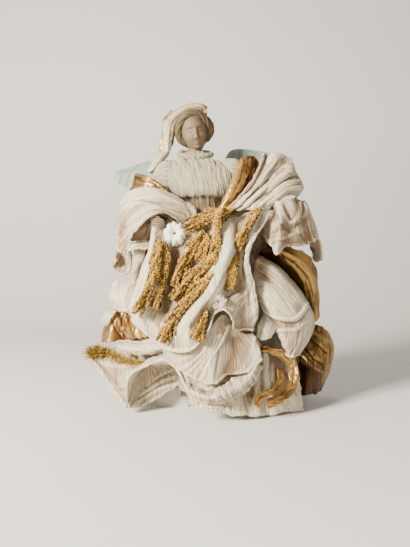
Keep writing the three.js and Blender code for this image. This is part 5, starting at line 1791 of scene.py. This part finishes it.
def copies(name, shape, faces, directions, sizes, places, tones):
    """One mesh of many copies of a small shape, each turned, sized and put in its place."""
    points = np.einsum("nij,kj->nki", facing(directions), shape) * sizes[:, None, None] + places[:, None]
    starts = np.arange(len(places)) * len(shape)
    all_faces = (faces[None] + starts[:, None, None]).reshape(-1, faces.shape[1])
    mesh = bpy.data.meshes.new(name)
    mesh.from_pydata((points.reshape(-1, 3) * MM).tolist(), [], all_faces.tolist())
    store(mesh, "tone", np.repeat(tones, len(shape)))
    piece = bpy.data.objects.new(name, mesh)
    bpy.context.scene.collection.objects.link(piece)
    return piece


# %% [markdown]
# A head of grass is filled spike by spike. A spike starts on the stalk, swings outwards and then runs
# on beside the stalk, so that dark furrows stay open between the spikes. Its husks stand round it, point
# outwards and towards the tip, and are painted palest on the side that faces the key lamp and darker on the
# side turned from it, which is painted light and shade.

# %% Where the heads of grass lie
GRASSES = [
    {"thick": 6.5, "spread": 1.05, "over": [(-39, 163), (-44, 138), (-50, 112), (-63, 88)]},
    {"thick": 5.5, "spread": 1.0, "over": [(-35, 159), (-34, 136), (-38, 114), (-45, 95)]},
    {"thick": 5, "spread": 1.7, "over": [(36, 193, -53), (22, 187, -49), (6, 180, -47), (-12, 173, -49)]},
    {"thick": 7, "spread": 1.2, "over": [(5, 170), (-5, 155), (-16, 136), (-24, 116)]},
    {"thick": 5, "spread": 1.35, "over": [(24, 195, -56), (16, 176, -55), (17, 153), (13, 138)]},
    {"thick": 6.5, "spread": 1.35, "over": [(18, 149), (3, 133), (-11, 118), (-23, 101)]},
    {"thick": 7, "spread": 1.3, "over": [(13, 128), (1, 112), (-16, 92), (-30, 74), (-36, 60)]},
    {"thick": 5, "spread": 1.15, "over": [(7, 168), (6, 155), (0, 141)]},
    {"thick": 6, "spread": 0.95, "over": [(61, 193), (51, 181), (44, 168), (38, 153)]},
    {"thick": 4, "spread": 1.0, "over": [(37, 146), (33, 130), (31, 114)]},
    {"thick": 6, "spread": 1.1, "over": [(8, 92), (3, 79), (-4, 63)]},
]

# %% [markdown]
# The stalk is walked in small steps, and a spike takes the steps next to its start. The swell keeps the
# head thickest in its middle, and the swing spreads the spikes over the front of the stalk.

# %% One head of grass
STALK_STEPS = 200
SPIKES_PER_MM = 0.42
SPIKE_LENGTH = (13, 22)
SPIKE_THICK = 1.9
SPIKE_SWING = 1.45
HUSKS_TO_A_SPIKE = 120
HUSK_SIZE = (0.6, 1.05)
LAMP_SIDE = np.array([-0.62, -0.6, 0.5])
HUSK_TONE = 0.29
HUSK_PAINTED_LIGHT = 0.46
LIFT_SHARE = 0.62
GRASS_LIFT = 1.4
SPIKES_TO = 0.92


def grass(number, thick, spread, over):
    """One head of grass that rests on the cloth along the given places."""
    chance = np.random.default_rng(200 + number)
    lift = thick * LIFT_SHARE + GRASS_LIFT
    path = np.array([placed(place) if len(place) == 3 else resting(*place, lift) for place in over])
    way = on_curve(path, np.linspace(0, 1, STALK_STEPS))
    last = STALK_STEPS - 1
    long = np.linalg.norm(np.diff(way, axis=0), axis=1).sum()
    spikes = round(long * SPIKES_PER_MM * spread) + 4
    starts = (np.arange(spikes) + chance.uniform(0, 1, spikes)) / spikes * SPIKES_TO
    length = np.minimum(chance.uniform(*SPIKE_LENGTH, spikes), (1 - starts) * long + 3)
    turn = chance.uniform(-SPIKE_SWING, SPIKE_SWING, (spikes, 1, 1))
    swell = 0.4 + 0.6 * np.sin(math.pi * (0.12 + 0.8 * starts))[:, None, None]
    reach = thick * spread * swell * chance.uniform(0.25, 1.15, (spikes, 1, 1))
    along = chance.uniform(0, 1, (spikes, HUSKS_TO_A_SPIKE, 1))
    index = ((starts[:, None] + along[..., 0] * (length / long)[:, None]) * last).astype(int)
    beyond = np.maximum(index - last, 0)[..., None] * long / last
    index = np.minimum(index, last)
    ahead = unit(np.gradient(way, axis=0)[index])
    side = unit(np.cross(ahead, (0, 1, 0)))
    front = np.cross(side, ahead)
    front *= np.sign(-front[..., 1:2])
    outward = np.sin(turn) * side + 0.65 * np.cos(turn) * front
    round_it = chance.uniform(0, 2 * math.pi, along.shape)
    radial = np.cos(round_it) * side + np.sin(round_it) * front
    thickness = SPIKE_THICK * (1.1 - 0.8 * along**2) * chance.uniform(0.35, 1.25, along.shape)
    swung = outward * reach * np.sin(math.pi / 2 * along**0.7)
    places = way[index] + ahead * beyond + swung + radial * thickness
    headings = 0.8 * ahead + 0.75 * radial + 0.25 * outward + chance.normal(0, 0.6, places.shape)
    # Painted light and shade: husks on the side towards the key lamp are lighter, those on the far side
    # darker.
    tones = (HUSK_TONE + chance.uniform(-0.12, 0.12, (spikes, 1)) + chance.uniform(-0.3, 0.3, index.shape)
             + HUSK_PAINTED_LIGHT * (radial @ LAMP_SIDE) * (thickness / SPIKE_THICK)[..., 0])
    sizes = chance.uniform(*HUSK_SIZE, index.shape) * (1 - 0.25 * along[..., 0])
    piece = copies("grass_head_%d" % number, HUSK_POINTS, HUSK_FACES, headings.reshape(-1, 3),
                   sizes.ravel(), places.reshape(-1, 3), tones.ravel())
    done(piece, GRASS, "grass", "grass_%d" % number)


# %% All the heads
for i, head_is in enumerate(GRASSES):
    grass(i + 1, **head_is)

# %% [markdown]
# ## The flowers
# The flowers are cut and rolled from stiff white cotton: a ring of round petals, each a small grid that
# is cupped across and curled back at its rim, round a hollow with a tuft of stamens in it.

# %% The flower finish
# The petals are white, with painted shade where they lie further back in the hollow and in their cups.
PETAL_WHITE_AND_SHADE = [(0.1, (0.42, 0.36, 0.28)), (0.5, (0.82, 0.84, 0.8)), (0.9, (0.9, 0.92, 0.88))]
PETAL, tree, shader = finish("white_petals", Roughness=0.85, Sheen_Weight=0.1)
coloured(tree, shader, ramp(tree, stored(tree, "ridge"), PETAL_WHITE_AND_SHADE))
bumped(tree, shader, noise(tree, surface_uv(tree), scale=60, detail=4), 0.2)

# %% A petal
PETAL_GRID = (16, 18)
PETAL_THICK = 0.9
PETAL_CUP = 0.3
PETAL_FRILL = 0.13


def petal(name, middle, radius, share, bearing, overlap, open_to, chance):
    """One petal that leaves the middle at a bearing; share is its share of the ring, as half an angle."""
    piece, u, v = flat_grid(name, *PETAL_GRID)
    u, v = u[None, :], v[:, None]
    petal_radius = radius * chance.uniform(0.9, 1.06)
    wide = np.sin(math.pi * np.clip(0.12 + 0.78 * v, 0, 1)) ** 0.5 * radius * math.sin(share)
    side = (u - 0.5) * 2 * overlap * wide
    frill = np.sin(2.6 * math.pi * u + chance.uniform(0, 6) + 2 * v) * v**1.5
    out = petal_radius * (0.12 + open_to * v**0.85) + 0.06 * radius * frill
    rise = radius * 0.5 * np.sin(math.pi * np.clip(0.1 + v * 0.92, 0, 1)) ** 0.8
    cup = -PETAL_CUP * radius * (4 * (u - 0.5) ** 2) * v
    lift = rise + cup + PETAL_FRILL * radius * frill + chance.uniform(-0.7, 0.7)
    turn = bearing + 2 * share * chance.uniform(-0.12, 0.12)
    points = np.stack([
        middle[0] + out * math.cos(turn) - side * math.sin(turn),
        middle[1] - lift,
        middle[2] + out * math.sin(turn) + side * math.cos(turn),
    ], -1)
    # The ridge here is how far each point stands towards the eye, so the deeper parts take painted shade.
    lay(piece, points, *lengths(points), 0.25 + 0.75 * lift / radius)
    thicken(piece, PETAL_THICK)
    return piece


# %% The flowers
FLOWERS = {
    "large_flower": {"node_name": "flower_large", "at": (-25, 167), "radius": 11.5, "petals": 10,
                     "seed": 211, "open_to": 0.8, "overlap": 1.3, "finish_is": PETAL},
    "small_flower": {"node_name": "flower_small", "at": (18.5, 98.5), "radius": 8.5, "petals": 6,
                     "seed": 212, "open_to": 0.7, "overlap": 1.35, "finish_is": COTTON},
    "small_flower_heart": {"node_name": "flower_small", "at": (18.5, 98.5), "radius": 4.8, "petals": 5,
                           "seed": 215, "open_to": 0.6, "overlap": 1.4, "finish_is": COTTON},
}
FLOWER_LIFT = 2.4
STAMENS = 12


def flower(name, node_name, at, radius, petals, seed, open_to, overlap, finish_is):
    """A flower whose hollow faces the eye: rolled petals with frilled rims round a tuft."""
    middle = resting(*at, FLOWER_LIFT)
    chance = np.random.default_rng(seed)
    share = math.pi / petals
    made = joined([
        petal("%s_petal_%d" % (name, i + 1), middle, radius, share, 2 * share * i, overlap, open_to, chance)
        for i in range(petals)
    ])
    made.name = name
    done(made, finish_is, "flower", node_name)
    sideways = chance.normal(0, 0.5, STAMENS)
    headings = np.stack([sideways, -np.ones(STAMENS), chance.normal(0, 0.5, STAMENS)], -1)
    places = middle + headings * radius * 0.16
    places[:, 1] -= radius * 0.1
    tuft = copies(name + "_tuft", HUSK_POINTS, HUSK_FACES, headings, np.full(STAMENS, 0.06 * radius),
                  places, chance.uniform(0, 0.3, STAMENS))
    done(tuft, GRASS, "flower", node_name)


for name, flower_is in FLOWERS.items():
    flower(name, **flower_is)

# %% [markdown]
# ## The moss
# A tuft of dyed moss lies along the top of the lifted corner. It is hundreds of thin blades, each a strip
# of a few faces bent over at its tip.

# %% The moss
DYED = [(0.0, (0.1, 0.06, 0.008)), (0.5, (0.36, 0.23, 0.035)), (1.0, (0.62, 0.42, 0.09))]
MOSS, tree, shader = finish("dyed_moss", Roughness=0.8)
coloured(tree, shader, ramp(tree, stored(tree, "tone"), DYED))

MOSS_PATH = [(-108, 47), (-95, 47), (-82, 42), (-69, 38), (-57, 38)]
MOSS_LIFT = 3.5
BLADES = 1500
BLADE_LENGTH = (4.5, 8.5)
BLADE_POINTS = np.array([(-0.4, 0, 0), (0.4, 0, 0), (-0.34, 0.5, 2.4), (0.34, 0.5, 2.4), (-0.2, 1.6, 4.6),
                         (0.2, 1.6, 4.6), (0, 3.1, 6.0)]) / 6
BLADE_FACES = np.array([(0, 1, 3), (0, 3, 2), (2, 3, 5), (2, 5, 4), (4, 5, 6)])
LEANING = (0.25, -0.55, 0.75)

chance = np.random.default_rng(301)
moss_line = [resting(*place, MOSS_LIFT) for place in MOSS_PATH]
way = chance.uniform(0, 1, BLADES) ** 1.25
spread = (0.8 + 5.6 * np.sin(math.pi * (0.25 + 0.75 * way)))[:, None]
roots = on_curve(moss_line, way) + chance.normal(0, 0.42, (BLADES, 3)) * spread * (1, 0.55, 0.75)
headings = chance.normal(0, 0.75, (BLADES, 3)) + LEANING
sizes = chance.uniform(*BLADE_LENGTH, BLADES) * (1.35 - 0.9 * way)
tuft = copies("moss_tuft", BLADE_POINTS, BLADE_FACES, headings, sizes, roots, chance.uniform(0, 1, BLADES))
done(tuft, MOSS, "moss", "moss")

# %% [markdown]
# ## The base
# The figure is fixed on a plain block of painted wood, which is the one solid that is kept as it is.
# It only needs its finish: old white paint, worn through to the wood in places.

# %% The base
OLD_PAINT = [(0.34, (0.2, 0.13, 0.08)), (0.42, (0.5, 0.48, 0.43)), (0.7, (0.64, 0.63, 0.58))]
PAINTED, tree, shader = finish("old_white_paint", Roughness=0.7)
worn = noise(tree, object_place(tree), scale=60, detail=8, Roughness=0.7)
coloured(tree, shader, ramp(tree, worn, OLD_PAINT))
bumped(tree, shader, worn, 0.6)
nodes["base"].data.materials.clear()
nodes["base"].data.materials.append(PAINTED)

# %% [markdown]
# ## Sizes
# The size of the finished doll, and of each cloth as it was cut. The finished doll may
# stand only a little proud of the frame.

# %% Sizes and the end
low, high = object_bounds()
print("doll box (mm):", [round(side / MM) for side in (*low, *high)])
for name, (wide, long) in cloth_sizes.items():
    print("%s was cut %.0f x %.0f mm" % (name, wide / MM, long / MM))
